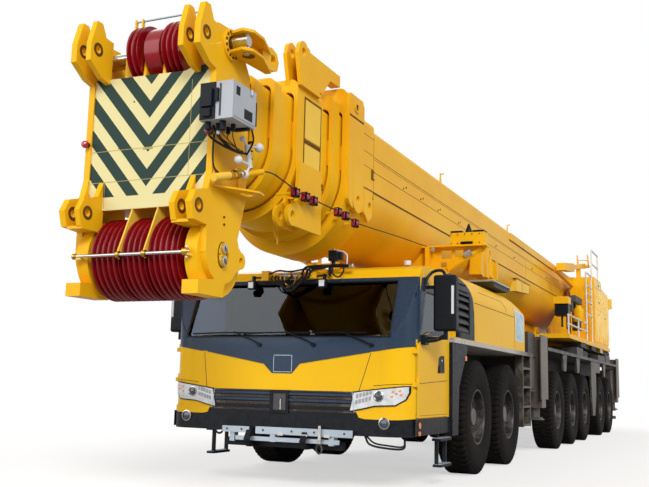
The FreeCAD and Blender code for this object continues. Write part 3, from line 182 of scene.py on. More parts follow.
def paint(name, colour, faded, dust=(0.36, 0.3, 0.24), rough=(0.28, 0.46), metal=0.0, coat=0.0, level=0.35,
          grain=0.0015, toneScale=1.1, dustTop=1.5, dustMost=0.35, speck=14.0):
    # paint that drifts between two tones, with dust that thins out with height and fine specks
    material, net, shader = newMaterial(name, metal=metal, coat=coat, level=level)
    place = placeOf(net)
    tone = ramp(net, noise(net, place, toneScale), 0.38, 0.68)
    height = ramp(net, addNode(net, "SeparateXYZ", {0: place}).outputs["Z"], 0.0, dustTop, 1.0, 0.0)
    patches = ramp(net, noise(net, place, speck, 6.0, 0.65), 0.42, 0.72)
    dirt = calculate(net, "MULTIPLY", calculate(net, "MULTIPLY", height, patches), dustMost)
    fill(net, shader, {"Base Color": blend(net, dirt, blend(net, tone, colour, faded), dust),
                       "Roughness": ramp(net, patches, 0.0, 1.0, *rough),
                       "Normal": bump(net, noise(net, place, 90.0, 2.0), 0.08, grain)})
    return material


yellow = paint("amber_paint", (0.86, 0.47, 0.009), (0.81, 0.4, 0.007), rough=(0.28, 0.44), level=0.12)
cabYellow = paint("cab_paint", (0.86, 0.5, 0.009), (0.83, 0.45, 0.007), rough=(0.3, 0.34), level=0.08,
                  grain=0.0003, toneScale=0.8, dustMost=0.15)
# pale yellow of some parts, also drawn as thin lines of painted highlight beside seams, a door crease and a boom ridge
paleYellow = paint("pale_yellow", (0.86, 0.56, 0.07), (0.84, 0.5, 0.045), rough=(0.3, 0.45), level=0.15)
creamYellow = paint("cream_yellow", (0.88, 0.66, 0.24), (0.86, 0.58, 0.15), rough=(0.3, 0.45), level=0.15,
                    toneScale=2.6)
# dark brown of seams and joints, also drawn as painted shade in crease lines, keyhole shapes, round the ears' bore and
# under a step
seamAndShadeBrown = paint("seam_and_shade_brown", (0.11, 0.045, 0.003), (0.16, 0.07, 0.005), rough=(0.5, 0.7), level=0.2)
plateSeam = paint("plate_seam", (0.46, 0.38, 0.14), (0.36, 0.28, 0.1), rough=(0.5, 0.6), level=0.1)
chassisPaint = paint("chassis_paint", (0.04, 0.036, 0.033), (0.06, 0.052, 0.045), rough=(0.4, 0.62), level=0.3)
coverSteel = paint("cover_steel", (0.16, 0.13, 0.105), (0.07, 0.06, 0.052), rough=(0.34, 0.55), metal=0.45,
                   speck=22.0)
# dark iron of axles and fittings, also drawn as discs of painted shade in the lug plates' eyes and the tow plates'
# holes
axleIronAndShade = paint("axle_iron", (0.02, 0.018, 0.017), (0.032, 0.028, 0.025), rough=(0.5, 0.75), level=0.3)
engineGrey = paint("engine_grey", (0.05, 0.05, 0.05), (0.035, 0.034, 0.033), rough=(0.5, 0.7))
brightSteel = paint("bright_steel", (0.62, 0.6, 0.57), (0.5, 0.48, 0.46), rough=(0.16, 0.32), metal=1.0,
                    dustMost=0.1)
cleanSteel = paint("clean_steel", (0.4, 0.46, 0.52), (0.3, 0.36, 0.42), rough=(0.3, 0.36), metal=0.5,
                   dustMost=0.05)
darkSteel = paint("dark_steel", (0.1, 0.095, 0.09), (0.07, 0.066, 0.062), rough=(0.35, 0.5), metal=0.5,
                  dustMost=0.1)
brass = paint("brass", (0.6, 0.38, 0.08), (0.45, 0.28, 0.06), rough=(0.25, 0.4), metal=1.0)
blackPlastic = paint("black_plastic", (0.006, 0.008, 0.012), (0.01, 0.012, 0.017), rough=(0.32, 0.48),
                     level=0.12, dustMost=0.06)
rubberBlack = paint("rubber_black", (0.008, 0.008, 0.009), (0.014, 0.013, 0.013), rough=(0.45, 0.65),
                    level=0.2, dustMost=0.1)
rubber = paint("tyre_rubber", (0.006, 0.005, 0.005), (0.011, 0.009, 0.008), rough=(0.66, 0.88), level=0.07,
               dustTop=1.6, dust=(0.034, 0.027, 0.023), dustMost=0.45)
rimBlack = paint("rim_black", (0.008, 0.008, 0.009), (0.016, 0.015, 0.015), rough=(0.35, 0.55), level=0.35)
hubGrey = paint("hub_grey", (0.13, 0.118, 0.11), (0.09, 0.082, 0.078), rough=(0.35, 0.55), metal=0.3)
trimGrey = paint("trim_grey", (0.045, 0.045, 0.05), (0.065, 0.062, 0.06), rough=(0.55, 0.75))
caseGrey = paint("case_grey", (0.42, 0.44, 0.47), (0.34, 0.36, 0.39), rough=(0.34, 0.42), dustMost=0.05)
# near-black for the cab's inside: partly its own dark trim colour, partly painted shade that keeps the inside dark
# behind the windows
cabShadeLining = paint("cab_shade_lining", (0.01, 0.014, 0.024), (0.016, 0.021, 0.032), rough=(0.6, 0.8), level=0.1,
               dustMost=0.0)
railWhite = paint("rail_white", (0.72, 0.71, 0.67), (0.6, 0.59, 0.55), rough=(0.3, 0.5))
whitePlastic = paint("white_plastic", (0.7, 0.71, 0.73), (0.6, 0.61, 0.64), rough=(0.3, 0.45))
sheaveRed = paint("sheave_red", (0.26, 0.003, 0.008), (0.17, 0.002, 0.005), rough=(0.2, 0.32), coat=0.25,
                  level=0.3, dustMost=0.0)
panelBlue = paint("panel_blue", (0.024, 0.044, 0.08), (0.018, 0.033, 0.062), rough=(0.26, 0.34), level=0.18,
                  dustMost=0.02)
paleBlue = paint("pale_blue", (0.2, 0.42, 0.58), (0.48, 0.62, 0.7), toneScale=6.0, rough=(0.25, 0.4), coat=0.3)


def deckMaterial():
    # a lighter strip along the deck's top towards its front, and dark scraped steel on everything that hangs below it
    light, dim, dark, bare = (0.5, 0.45, 0.39), (0.045, 0.04, 0.035), (0.04, 0.034, 0.029), (0.15, 0.125, 0.1)
    material, net, shader = newMaterial("deck_paint", level=0.3)
    place = placeOf(net)
    split = addNode(net, "SeparateXYZ", {0: place}).outputs
    scrape = ramp(net, noise(net, place, 5.0, 7.0, 0.7), 0.46, 0.66)
    strip = blend(net, ramp(net, split["X"], 3.0, 4.2), dim, light)
    worn = blend(net, ramp(net, noise(net, place, 16.0, 5.0), 0.52, 0.72, 0.0, 0.5), strip, dark)
    upper = ramp(net, split["Z"], 1.57, 1.582)
    fill(net, shader, {"Base Color": blend(net, upper, blend(net, scrape, dark, bare), worn),
                       "Roughness": ramp(net, scrape, 0.0, 1.0, 0.36, 0.56),
                       "Normal": bump(net, scrape, 0.2, 0.002)})
    return material


def meshMaterial():
    # cells of a honeycomb: dull wires round black openings, from the distance to a cell's edge; the openings' black is
    # painted shade of the dark space behind the mesh
    material, net, shader = newMaterial("dark_mesh", level=0.3)
    cells = addNode(net, "TexVoronoi", feature="DISTANCE_TO_EDGE")
    fill(net, cells, {"Scale": 46.0, "Randomness": 0.25, "Vector": placeOf(net)})
    wire = ramp(net, cells.outputs["Distance"], 0.1, 0.17, 1.0, 0.0)
    fill(net, shader, {"Base Color": blend(net, wire, (0.004, 0.003, 0.003), (0.1, 0.075, 0.058)),
                       "Normal": bump(net, wire, 0.6, 0.004)})
    return material


def glassMaterial():
    # tinted pane with a faint smear in its gloss
    material, net, shader = newMaterial("screen_glass")
    fill(net, shader, {"Base Color": (0.1, 0.16, 0.24), "Transmission Weight": 1.0, "IOR": 1.45,
                       "Roughness": ramp(net, noise(net, placeOf(net), 3.0), 0.3, 0.8, 0.0, 0.012)})
    return material


stripes = {"cream": (0.72, 0.65, 0.33), "worn": (0.74, 0.6, 0.22), "green": (0.022, 0.046, 0.037),
           "slope": 1.17, "period": 0.297, "share": 0.5, "apex": 2.665, "foot": 2.595}


def stripedPlate():
    # cream plate with dark green V stripes: height less slope times the distance from the middle, in steps
    material, net, shader = newMaterial("striped_plate", level=0.12)
    place = placeOf(net)
    split = addNode(net, "SeparateXYZ", {0: place}).outputs
    drop = calculate(net, "MULTIPLY", calculate(net, "ABSOLUTE", split["Y"]), stripes["slope"])
    height = calculate(net, "SUBTRACT", calculate(net, "SUBTRACT", split["Z"], drop), stripes["apex"])
    turns = calculate(net, "ADD", calculate(net, "DIVIDE", height, stripes["period"]), 20.0)
    stripe = calculate(net, "LESS_THAN", calculate(net, "FRACT", turns), stripes["share"])
    above = calculate(net, "GREATER_THAN", split["Z"], stripes["foot"])
    wear = ramp(net, noise(net, place, 3.0), 0.35, 0.75, 0.0, 0.22)
    cream = blend(net, wear, stripes["cream"], stripes["worn"])
    fill(net, shader, {"Base Color": blend(net, calculate(net, "MULTIPLY", stripe, above), cream, stripes["green"]),
                       "Normal": bump(net, noise(net, place, 60.0), 0.2, 0.001)})
    return material


def glow(name, colour, rough=0.25):
    # small coloured lens whose colour drifts a little darker in patches
    material, net, shader = newMaterial(name, rough=rough, coat=0.5)
    amount = ramp(net, noise(net, placeOf(net), 12.0, 1.0), 0.4, 0.7)
    fill(net, shader, {"Base Color": blend(net, amount, colour, tuple(0.78 * c for c in colour))})
    return material


deckPaint = deckMaterial()
darkMesh = meshMaterial()
screenGlass = glassMaterial()
striped = stripedPlate()
redLens = glow("red_lens", (0.42, 0.01, 0.045))
amberLens = glow("amber_lens", (0.9, 0.24, 0.02))
whiteLens = glow("white_lens", (0.66, 0.68, 0.7), 0.12)
darkLens = glow("dark_lens", (0.05, 0.06, 0.08), 0.08)
lampCell = glow("lamp_cell", (0.3, 0.31, 0.34), 0.12)

# the solids that stay in sight, by the start of their names; the others are yellow
finishes = (
    ("chassis_frame", chassisPaint), ("carrier_engine", engineGrey), ("deck_plates", deckPaint),
    ("engine_hood", cabYellow), ("cab_shell", cabYellow), ("cab_door", cabYellow), ("cab_windscreen", screenGlass),
    ("cab_interior", cabShadeLining), ("bumper_and_steps", blackPlastic), ("mirror", blackPlastic),
    ("axle_beams", axleIronAndShade), ("knuckle", axleIronAndShade), ("outrigger_beam", coverSteel),
    ("outrigger_jack", darkSteel), ("winch_drum", coverSteel), ("handrails", railWhite), ("luff_rod", brightSteel),
)
for name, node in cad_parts.items():
    node.data.materials.clear()
    node.data.materials.append(next((finish for start, finish in finishes if name.startswith(start)), yellow))
print("materials made")

# shapes: each gives an array of points and a list of faces

axisOrder = {"x": (1, 2, 0), "y": (0, 2, 1), "z": (0, 1, 2)}


def gridFaces(rows, columns, closeRows=False, closeColumns=False, start=0):
    # quads between the neighbours of a rows by columns array of points
    r = np.arange(rows if closeRows else rows - 1)[:, None]
    c = np.arange(columns if closeColumns else columns - 1)[None, :]
    r2, c2 = (r + 1) % rows, (c + 1) % columns
    corners = (r * columns + c, r2 * columns + c, r2 * columns + c2, r * columns + c2)
    return (np.stack(np.broadcast_arrays(*corners), -1).reshape(-1, 4) + start).tolist()


def revolve(profile, centre, axis, steps=48, closed=True):
    # points (radius, along) turned about an axis through centre; a closed profile makes a ring
    profile = np.array(profile, float)
    turn = np.arange(steps) * 2 * np.pi / steps
    along = profile[None, :, 1].repeat(steps, 0)
    first = profile[None, :, 0] * np.cos(turn)[:, None]
    second = profile[None, :, 0] * np.sin(turn)[:, None]
    order = {"x": (along, first, second), "y": (second, along, first), "z": (first, second, along)}[axis]
    return np.stack(order, -1).reshape(-1, 3) + np.array(centre), gridFaces(steps, len(profile), True, closed)


def disc(profile, centre, axis, steps=32):
    # a turned solid: the profile starts and ends on the axis
    return revolve([(1e-4, profile[0][1]), *profile, (1e-4, profile[-1][1])], centre, axis, steps)


def drum(radius, low, high, centre, axis, steps=24, edge=0.003):
    profile = [(radius - edge, low), (radius, low + edge), (radius, high - edge), (radius - edge, high)]
    return disc(profile, centre, axis, steps)


def prism(outline, axis, low, high):
    # an outline carried straight along an axis, with a face at each end
    outline = np.array(outline, float)
    count = len(outline)
    points = np.zeros((2, count, 3))
    points[..., axisOrder[axis][:2]] = outline
    points[..., axisOrder[axis][2]] = np.array([low, high])[:, None]
    ends = [list(range(count))[::-1], list(range(count, 2 * count))]
    return points.reshape(-1, 3), gridFaces(2, count, False, True) + ends


def corners(a0, a1, b0, b1):
    return [(a0, b0), (a1, b0), (a1, b1), (a0, b1)]


def brick(x0, x1, y0, y1, z0, z1):
    return prism(corners(x0, x1, y0, y1), "z", z0, z1)


def bricks(*rows):
    return [brick(*row) for row in rows]


def span(side, near, far):
    return sorted((side * near, side * far))


def sideBricks(side, *rows):
    # rows: x, x, distance from the middle twice, z, z
    return [brick(x0, x1, *span(side, near, far), z0, z1) for x0, x1, near, far, z0, z1 in rows]


def sidePrism(side, outline, near, far):
    return prism(outline, "y", *span(side, near, far))


def sideDrum(side, radius, near, far, x, z, steps=24):
    return drum(radius, *span(side, near, far), (x, 0, z), "y", steps)


def tube(path, radius, sides=10):
    # a circle carried along a path, square to it at every point, with closed ends
    path = np.array(path, float)
    ahead = np.gradient(path, axis=0)
    ahead /= np.linalg.norm(ahead, axis=1)[:, None]
    guide = np.array([0.0, 0.0, 1.0]) if abs(ahead[:, 2]).max() < 0.9 else np.full(3, 0.577)
    across = np.cross(ahead, guide)
    across /= np.linalg.norm(across, axis=1)[:, None]
    upward = np.cross(across, ahead)
    turn = np.arange(sides) * 2 * np.pi / sides
    ring = np.cos(turn)[None, :, None] * across[:, None] + np.sin(turn)[None, :, None] * upward[:, None]
    last = (len(path) - 1) * sides
    ends = [list(range(sides)), list(range(last, last + sides))[::-1]]
    return (path[:, None] + radius * ring).reshape(-1, 3), gridFaces(len(path), sides, False, True) + ends


def curve(points, count=24):
    # a smooth path through a few points: each stretch is a cubic whose slopes are those of its neighbours
    points = np.array(points, float)
    ends = np.vstack([2 * points[0] - points[1], points, 2 * points[-1] - points[-2]])
    spot = np.linspace(0, len(points) - 1.0001, count)
    index = spot.astype(int)
    t = (spot - index)[:, None]
    a, b, c, d = (ends[index + i] for i in range(4))
    return 0.5 * (2 * b + (c - a) * t + (2 * a - 5 * b + 4 * c - d) * t ** 2 + (3 * b - a - 3 * c + d) * t ** 3)


def hose(points, count, radius, sides=10):
    return tube(curve(points, count), radius, sides)


def slab(front, back):
    # two arrays of points, one behind the other, closed round their edges
    rows, columns = front.shape[:2]
    count = rows * columns
    index = np.arange(count).reshape(rows, columns)
    rim = np.concatenate([index[0], index[1:, -1], index[-1, -2::-1], index[-2:0:-1, 0]])
    wall = [[int(b), int(a), int(a + count), int(b + count)] for a, b in zip(rim, np.roll(rim, -1))]
    faces = gridFaces(rows, columns) + [face[::-1] for face in gridFaces(rows, columns, start=count)] + wall
    return np.concatenate([front.reshape(-1, 3), back.reshape(-1, 3)]), faces


def ruled(first, second, steps=6, across=3):
    # straight lines drawn between two broken lines that have as many corners
    first, second = np.array(first, float), np.array(second, float)
    corner = np.arange(len(first))
    spot = np.linspace(0, len(first) - 1, (len(first) - 1) * steps + 1)
    a, b = (np.stack([np.interp(spot, corner, one[:, i]) for i in range(one.shape[1])], -1)
            for one in (first, second))
    t = np.linspace(0, 1, across + 1)[None, :, None]
    return a[:, None] * (1 - t) + b[:, None] * t


def stroke(points, width):
    # the two edges of a drawn line: its points moved to either side, square to it
    points = np.array(points, float)
    ahead = np.gradient(points, axis=0)
    ahead /= np.linalg.norm(ahead, axis=1)[:, None]
    off = np.stack([-ahead[:, 1], ahead[:, 0]], -1) * width / 2
    return points + off, points - off


def frameRing(outer, inner, axis, low, high):
    # the band between two outlines that have as many corners, carried straight along an axis
    points = np.zeros((4, len(outer), 3))
    for row, (outline, level) in enumerate(((outer, low), (outer, high), (inner, high), (inner, low))):
        points[row][:, axisOrder[axis][:2]] = np.array(outline, float)
        points[row][:, axisOrder[axis][2]] = level
    return points.reshape(-1, 3), gridFaces(4, len(outer), True, True)


def link(centre, first, second, radius, sides=8, steps=20):
    # a closed round bar bent to an oval that two half axes give
    turn = np.arange(steps)[:, None] * 2 * np.pi / steps
    first, second = np.array(first, float), np.array(second, float)
    path = np.array(centre) + np.cos(turn) * first + np.sin(turn) * second
    ahead = -np.sin(turn) * first + np.cos(turn) * second
    ahead /= np.linalg.norm(ahead, axis=1)[:, None]
    square = np.cross(first, second)
    square /= np.linalg.norm(square)
    across = np.cross(ahead, square)
    around = (np.arange(sides) * 2 * np.pi / sides)[None, :, None]
    points = path[:, None] + radius * (np.cos(around) * across[:, None] + np.sin(around) * square)
    return points.reshape(-1, 3), gridFaces(steps, sides, True, True)


def together(parts):
    points, faces, start = [], [], 0
    for p, f in parts:
        points.append(p)
        faces.extend([[i + start for i in face] for face in f])
        start += len(p)
    return np.concatenate(points), faces


def bolts(places, axis, radius=0.018, height=0.012, sides=6):
    # short six-sided heads standing on a face, one at each place; a minus turns them round
    turn = np.arange(sides) * 2 * np.pi / sides
    first, second, along = axisOrder[axis[-1]]
    parts = []
    for place in places:
        ring = np.stack([place[first] + radius * np.cos(turn), place[second] + radius * np.sin(turn)], -1)
        end = place[along] + (-height if axis[0] == "-" else height)
        parts.append(prism(ring, axis[-1], *sorted((place[along], end))))
    return together(parts)


def addPiece(name, groups, body="root", replaced=(), smooth=35.0, bevel=0.0):
    # groups pair a material with its parts; the piece is stored forward by the first axle's place
    grouped = [together(parts) for material, parts in groups]
    points, faces = together(grouped)
    marks = np.repeat(np.arange(len(groups)), [len(f) for p, f in grouped])
    mesh = bpy.data.meshes.new(name)
    mesh.from_pydata(points + np.array([frontAxle, 0, 0]), [], faces)
    for material, parts in groups:
        mesh.materials.append(material)
    mesh.polygons.foreach_set("material_index", marks.astype(np.int32))
    work = bmesh.new()
    work.from_mesh(mesh)
    bmesh.ops.remove_doubles(work, verts=work.verts, dist=2e-4)
    bmesh.ops.recalc_face_normals(work, faces=work.faces)
    work.to_mesh(mesh)
    work.free()
    piece = bpy.data.objects.new(name, mesh)
    scene.collection.objects.link(piece)
    if bevel:
        edge = piece.modifiers.new("edges", "BEVEL")
        edge.width = bevel
        edge.segments = 2
        edge.angle_limit = math.radians(40)
    mesh.polygons.foreach_set("use_smooth", np.ones(len(mesh.polygons), bool))
    mesh.set_sharp_from_angle(angle=math.radians(smooth))
    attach(piece, body)
    if replaced:
        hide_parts(*replaced)


# wheels

wheel = {"axles": (0.0, -1.72, -5.76, -7.48, -9.17, -11.78, -13.5), "track": 1.3, "centre": 0.705, "lugs": 54,
         "groove": 0.017, "turnSteps": 432}
# half of the tyre's section, from the bead out to the middle of the tread: radius, width
tyreHalf = ((0.335, 0.158), (0.352, 0.172), (0.375, 0.181), (0.43, 0.193), (0.5, 0.199), (0.56, 0.199),
            (0.6, 0.196), (0.632, 0.191), (0.655, 0.186), (0.678, 0.178), (0.696, 0.168), (0.704, 0.156),
            (0.7045, 0.135), (0.705, 0.112), (0.705, 0.082), (0.705, 0.068), (0.705, 0.05), (0.705, 0.014))
# turned profiles of the rim, radius and width, and its ten pockets and two rings of nuts
rim = {"barrel": ((0.345, 0.172), (0.338, 0.177), (0.322, 0.172), (0.314, 0.15), (0.312, -0.165),
                  (0.334, -0.165), (0.334, 0.15)),
       "body": ((0.15, 0.06), (0.146, 0.088), (0.12, 0.098), (0.116, 0.1), (0.116, -0.06)),
       "cap": ((0.1, 0.122), (0.108, 0.116), (0.11, 0.097), (0.09, 0.095)),
       "inner": 0.13, "outer": 0.316, "rings": 22, "steps": 240, "pockets": 10, "pocketAt": 0.236,
       "pocketRadius": 0.043, "pocketDepth": 0.085, "dish": (0.022, 0.055), "plate": 0.012}


def tyreSurface(x, side):
    # radius over angle and width: a rounded section, less grooves between blocks that run over the shoulder
    profile = np.array([*tyreHalf, *((r, -w) for r, w in tyreHalf[::-1])])
    turn = np.linspace(0, 2 * np.pi, wheel["turnSteps"], endpoint=False)[:, None]
    radius, width = profile[None, :, 0], profile[None, :, 1]
    mirror = np.sign(width)
    phase = (turn * wheel["lugs"] / (2 * np.pi) + 0.25 * mirror + 1.6 * width) % 1.0
    cut = np.clip((0.5 - np.abs(phase - 0.5) - 0.33) / 0.07, -1, 1) * 0.5 + 0.5
    lateral = cut * np.clip((np.abs(width) - 0.045) / 0.02, 0, 1) * np.clip((radius - 0.62) / 0.03, 0, 1)
    zigzag = 0.012 * np.sign(np.sin(turn * wheel["lugs"]))
    channel = np.clip(1 - np.abs(np.abs(width) - 0.059 - zigzag) / 0.01, 0, 1) * (radius > 0.7)
    middle = np.clip(1 - np.abs(width + zigzag) / 0.016, 0, 1) * (radius > 0.7)
    ribs = 0.003 * np.exp(-((radius - 0.42) / 0.006) ** 2) + 0.003 * np.exp(-((radius - 0.6) / 0.008) ** 2)
    depth = wheel["groove"] * np.maximum.reduce([lateral, channel, 0.8 * middle])
    r = radius - depth * (radius > 0.66)
    w = width + mirror * (ribs - 0.5 * depth * (radius <= 0.7) * (radius > 0.6))
    points = np.stack([x + r * np.sin(turn), side * wheel["track"] + w, wheel["centre"] + r * np.cos(turn)], -1)
    return points.reshape(-1, 3), gridFaces(wheel["turnSteps"], len(profile), True, True)


def rimParts(x, side):
    # a barrel with a lip, a dished disc whose ten openings are deep pockets, and a stepped hub with a cap
    centre = (x, side * wheel["track"], wheel["centre"])
    barrel, body, cap = ([(r, side * w) for r, w in rim[key]] for key in ("barrel", "body", "cap"))
    rings = np.linspace(rim["inner"], rim["outer"], rim["rings"])
    turn = (np.arange(rim["steps"]) * 2 * np.pi / rim["steps"])[:, None]
    step = 2 * np.pi / rim["pockets"]
    off = (turn + step / 2) % step - step / 2
    reach = np.sqrt(rings ** 2 + rim["pocketAt"] ** 2 - 2 * rings * rim["pocketAt"] * np.cos(off))
    pocket = rim["pocketDepth"] * np.clip((rim["pocketRadius"] - reach) / 0.005, 0, 1)
    dish = rim["dish"][0] + rim["dish"][1] * ((rings - rim["inner"]) / (rim["outer"] - rim["inner"])) ** 2
    face = np.stack([x + rings * np.sin(turn), centre[1] + side * (dish - pocket), centre[2] + rings * np.cos(turn)], -1)
    plates = [((face - np.array([0, side * back, 0])).reshape(-1, 3), gridFaces(rim["steps"], rim["rings"], True))
              for back in (0.0, rim["plate"])]
    nuts, ends = ([(x + r * math.sin(a), side * (wheel["track"] + out), wheel["centre"] + r * math.cos(a)) for a in turns]
                  for r, out, turns in ((0.185, 0.026, np.arange(10) * step + step / 2),
                                        (0.132, 0.088, np.arange(12) * 2 * np.pi / 12)))
    outward = "y" if side > 0 else "-y"
    black = [revolve(barrel, centre, "y", 72), *plates, disc(body, centre, "y", 48), bolts(nuts, outward, 0.015, 0.02)]
    return [(rimBlack, black), (hubGrey, [disc(cap, centre, "y", 40), bolts(ends, outward, 0.008, 0.012)])]


def makeWheels():
    for index, x in enumerate(wheel["axles"]):
        for side, word in sides:
            place = "%d_%s" % (index + 1, word)
            body = "wheel_" + place
            addPiece("tyre_" + place, [(rubber, [tyreSurface(x, side)])], body, (body,))
            addPiece("rim_" + place, rimParts(x, side), body)


makeWheels()
print("wheels made")

# carrier cab: thin parts that follow its bowed and leaning front

cab = {"front": 2.6, "edge": 1.4497, "bow": 17.937, "corner": (2.27146, 1.15456, 0.29557), "cornerFrom": 1.12,
       "lean": ((0.0, 2.6), (1.5, 2.6), (2.19, 2.32), (2.31, 2.23), (2.35, 2.08))}


def cabFace(y, z):
    # a wide arc over the front, a tight one round each corner, or the leaning screen line where that
    # lies further back
    side = np.minimum(np.abs(y), cab["edge"])
    wide = cab["front"] - cab["bow"] + np.sqrt(cab["bow"] ** 2 - side ** 2)
    cx, cy, r = cab["corner"]
    tight = cx + np.sqrt(np.maximum(r ** 2 - (side - cy) ** 2, 0))
    line = np.array(cab["lean"])
    return np.minimum(np.where(side > cab["cornerFrom"], tight, wide), np.interp(z, line[:, 0], line[:, 1]))


def onCab(places, out):
    # places (y, z) on the front, moved out along the surface's normal, which comes from its slopes
    y, z = places[..., 0], places[..., 1]
    step = 1e-4
    slopeY = (cabFace(y + step, z) - cabFace(y - step, z)) / (2 * step)
    slopeZ = (cabFace(y, z + step) - cabFace(y, z - step)) / (2 * step)
    normal = np.stack([np.ones_like(y), -slopeY, -slopeZ], -1)
    normal /= np.linalg.norm(normal, axis=-1)[..., None]
    return np.stack([cabFace(y, z), y, z], -1) + out * normal


def cabPatch(first, second, out, thickness, steps=6, across=3):
    lines = ruled(first, second, steps, across)
    return slab(onCab(lines, out + thickness), onCab(lines, out))


def cabLine(points, width, out=0.0005, thickness=0.0015, steps=8):
    return cabPatch(*stroke(points, width), out, thickness, steps, 1)


def sidePatch(side, first, second, near, far, steps=4, across=2):
    # between two broken lines of (x, z), on an upright plane beside the machine
    lines = ruled(first, second, steps, across)
    return slab(*(np.stack([lines[..., 0], np.full(lines.shape[:2], side * y), lines[..., 1]], -1)
                  for y in (far, near)))


def sideLine(side, points, width, near, far):
    return sidePatch(side, *stroke(points, width), near, far, 1, 1)


def level(values, z):
    return [(value, z) for value in values]


def atHeight(points, z):
    return level([y for y, _ in points], z)


surround = {
    "foot": ((-1.434, 1.47), (-1.03, 1.407), (0.0, 1.404), (1.03, 1.407), (1.434, 1.47)),
    "heights": (1.55, 1.65, 1.95, 2.208),
    "bands": ((1.226, 1.226, 1.226, 1.226), (1.434, 1.434, 1.434, 1.434), (1.444, 1.4496, 1.4496, 1.4496)),
    "flank": ((2.304, 1.628), (2.302, 1.75), (2.294, 2.0), (2.215, 2.208), (2.08, 2.235)),
    "flankInner": ((2.3, 1.626), (2.256, 1.755), (2.167, 1.99), (2.1, 2.165), (1.98, 2.16))}


def makeSurround():
    band = [cabPatch(surround["foot"], atHeight(surround["foot"], 1.556), 0.0, 0.006, 10, 4),
            cabPatch(*(level((-1.228, 0, 1.228), z) for z in (2.166, 2.208)), 0.0, 0.006, 10, 1)]
    for side in (-1, 1):
        inner, bend, outer = ([(side * y, z) for y, z in zip(row, surround["heights"])]
                              for row in surround["bands"])
        band += [cabPatch(inner, bend, 0.0, 0.006, 10, 24), cabPatch(bend, outer, 0.0, 0.006, 10, 8),
                 sidePatch(side, surround["flank"], surround["flankInner"], 1.4465, 1.4545)]
        # the crease runs where the screen's leaning plane meets the corner's arc
        rise = np.linspace(1.6, 2.19, 26)
        off = np.interp(rise, (1.5, 2.19), (2.6, 2.32)) - cab["corner"][0]
        crease = cab["corner"][1] + np.sqrt(cab["corner"][2] ** 2 - off ** 2)
        band.append(tube(onCab(np.stack([side * crease, rise], -1), 0.001), 0.009, 8))
    across, upward = np.linspace(-1.226, 1.226, 25), np.linspace(1.6, 2.13, 13)
    edge = [*level(across, 1.562), *((1.228, z) for z in upward), *level(across[::-1], 2.168),
            *((-1.228, z) for z in upward[::-1]), (-1.226, 1.562)]
    seal = tube(onCab(np.array(edge), 0.001), 0.011, 8)
    addPiece("screen_surround", [(panelBlue, band), (rubberBlack, [seal])], smooth=30)


front = {
    "vee": ((-0.944, 1.398), (-0.21, 1.27), (-0.11, 1.172), (0.13, 1.172), (0.22, 1.276), (1.013, 1.402)),
    "frame": (((-0.089, 1.187), (0.129, 1.187)), ((-0.089, 1.363), (0.129, 1.363)),
              ((-0.088, 1.187), (-0.088, 1.363)), ((0.128, 1.187), (0.128, 1.363))),
    "flanks": ((-0.008, ((1.02, 1.394), (0.96, 1.2), (0.894, 1.0))),
               (0.008, ((-0.985, 1.39), (-0.96, 1.19), (-0.933, 0.99)))),
    "corner": ((1.05, 1.06), (1.2, 1.075), (1.36, 1.085), (1.43, 1.085)),
    "lip": ((0.872, 0.795), (0.905, 0.735), (0.97, 0.722), (1.3, 0.722), (1.425, 0.735))}


def makeFront():
    vee = cabPatch(front["vee"], atHeight(front["vee"], 1.412), 0.0, 0.0065, 8, 3)
    place = cabPatch(*(level((-0.085, 0.125), z) for z in (1.19, 1.36)), 0.006, 0.006, 2, 2)
    edge = [cabLine(points, 0.006, 0.0065, 0.004, 2) for points in front["frame"]]
    addPiece("front_panel", [(panelBlue, [vee, place]), (cleanSteel, edge)])
    seams = [cabLine(points, 0.006) for _, points in front["flanks"]]
    seams += [cabLine([(side * y, z) for y, z in front["corner"]], 0.006) for side in (-1, 1)]
    # the pale lines just beside the front's two seams are painted highlights on the seams' edges
    bright = [cabLine([(y + off, z) for y, z in points], 0.004, 0.0005, 0.003) for off, points in front["flanks"]]
    addPiece("cab_seams_and_highlights", [(seamAndShadeBrown, seams), (paleYellow, bright)])
    feet = [[(side * y, z) for y, z in front["lip"]] for side in (-1, 1)]
    lips = [cabPatch(foot, atHeight(foot, 0.8), 0.0105, 0.004, 6, 3) for foot in feet]
    addPiece("bumper_lips", [(cabYellow, lips)])


def makeGrille():
    screen = cabPatch(level((-0.86, 0, 0.86), 0.777), level((-0.83, 0, 0.83), 0.996), 0.0005, 0.003, 8, 2)
    bars = [cabPatch(level(ends, z - 0.012), level(ends, z + 0.012), 0.013, 0.01, 8, 2)
            for ends in ((-0.815, -0.106), (0.106, 0.825)) for z in (0.892, 0.958)]
    trims = [cabLine([(end * 1.035, 0.79), (end * 1.005, 0.99)], 0.007, 0.012, 0.006) for end in (-0.815, 0.825)]
    square = frameRing(corners(-0.112, 0.112, 0.755, 0.992), corners(-0.078, 0.078, 0.785, 0.962), "x", 2.606, 2.63)
    hole = brick(2.617, 2.6195, -0.079, 0.079, 0.784, 0.963)
    pin = drum(0.008, 0.785, 0.9, (2.626, 0.018, 0), "z", 16)
    addPiece("grille_mesh", [(darkMesh, [screen])])
    addPiece("grille_bars", [(panelBlue, bars), (cleanSteel, trims)])
    addPiece("grille_frame", [(blackPlastic, [square]), (trimGrey, [hole]), (brightSteel, [pin])],
             bevel=0.002)


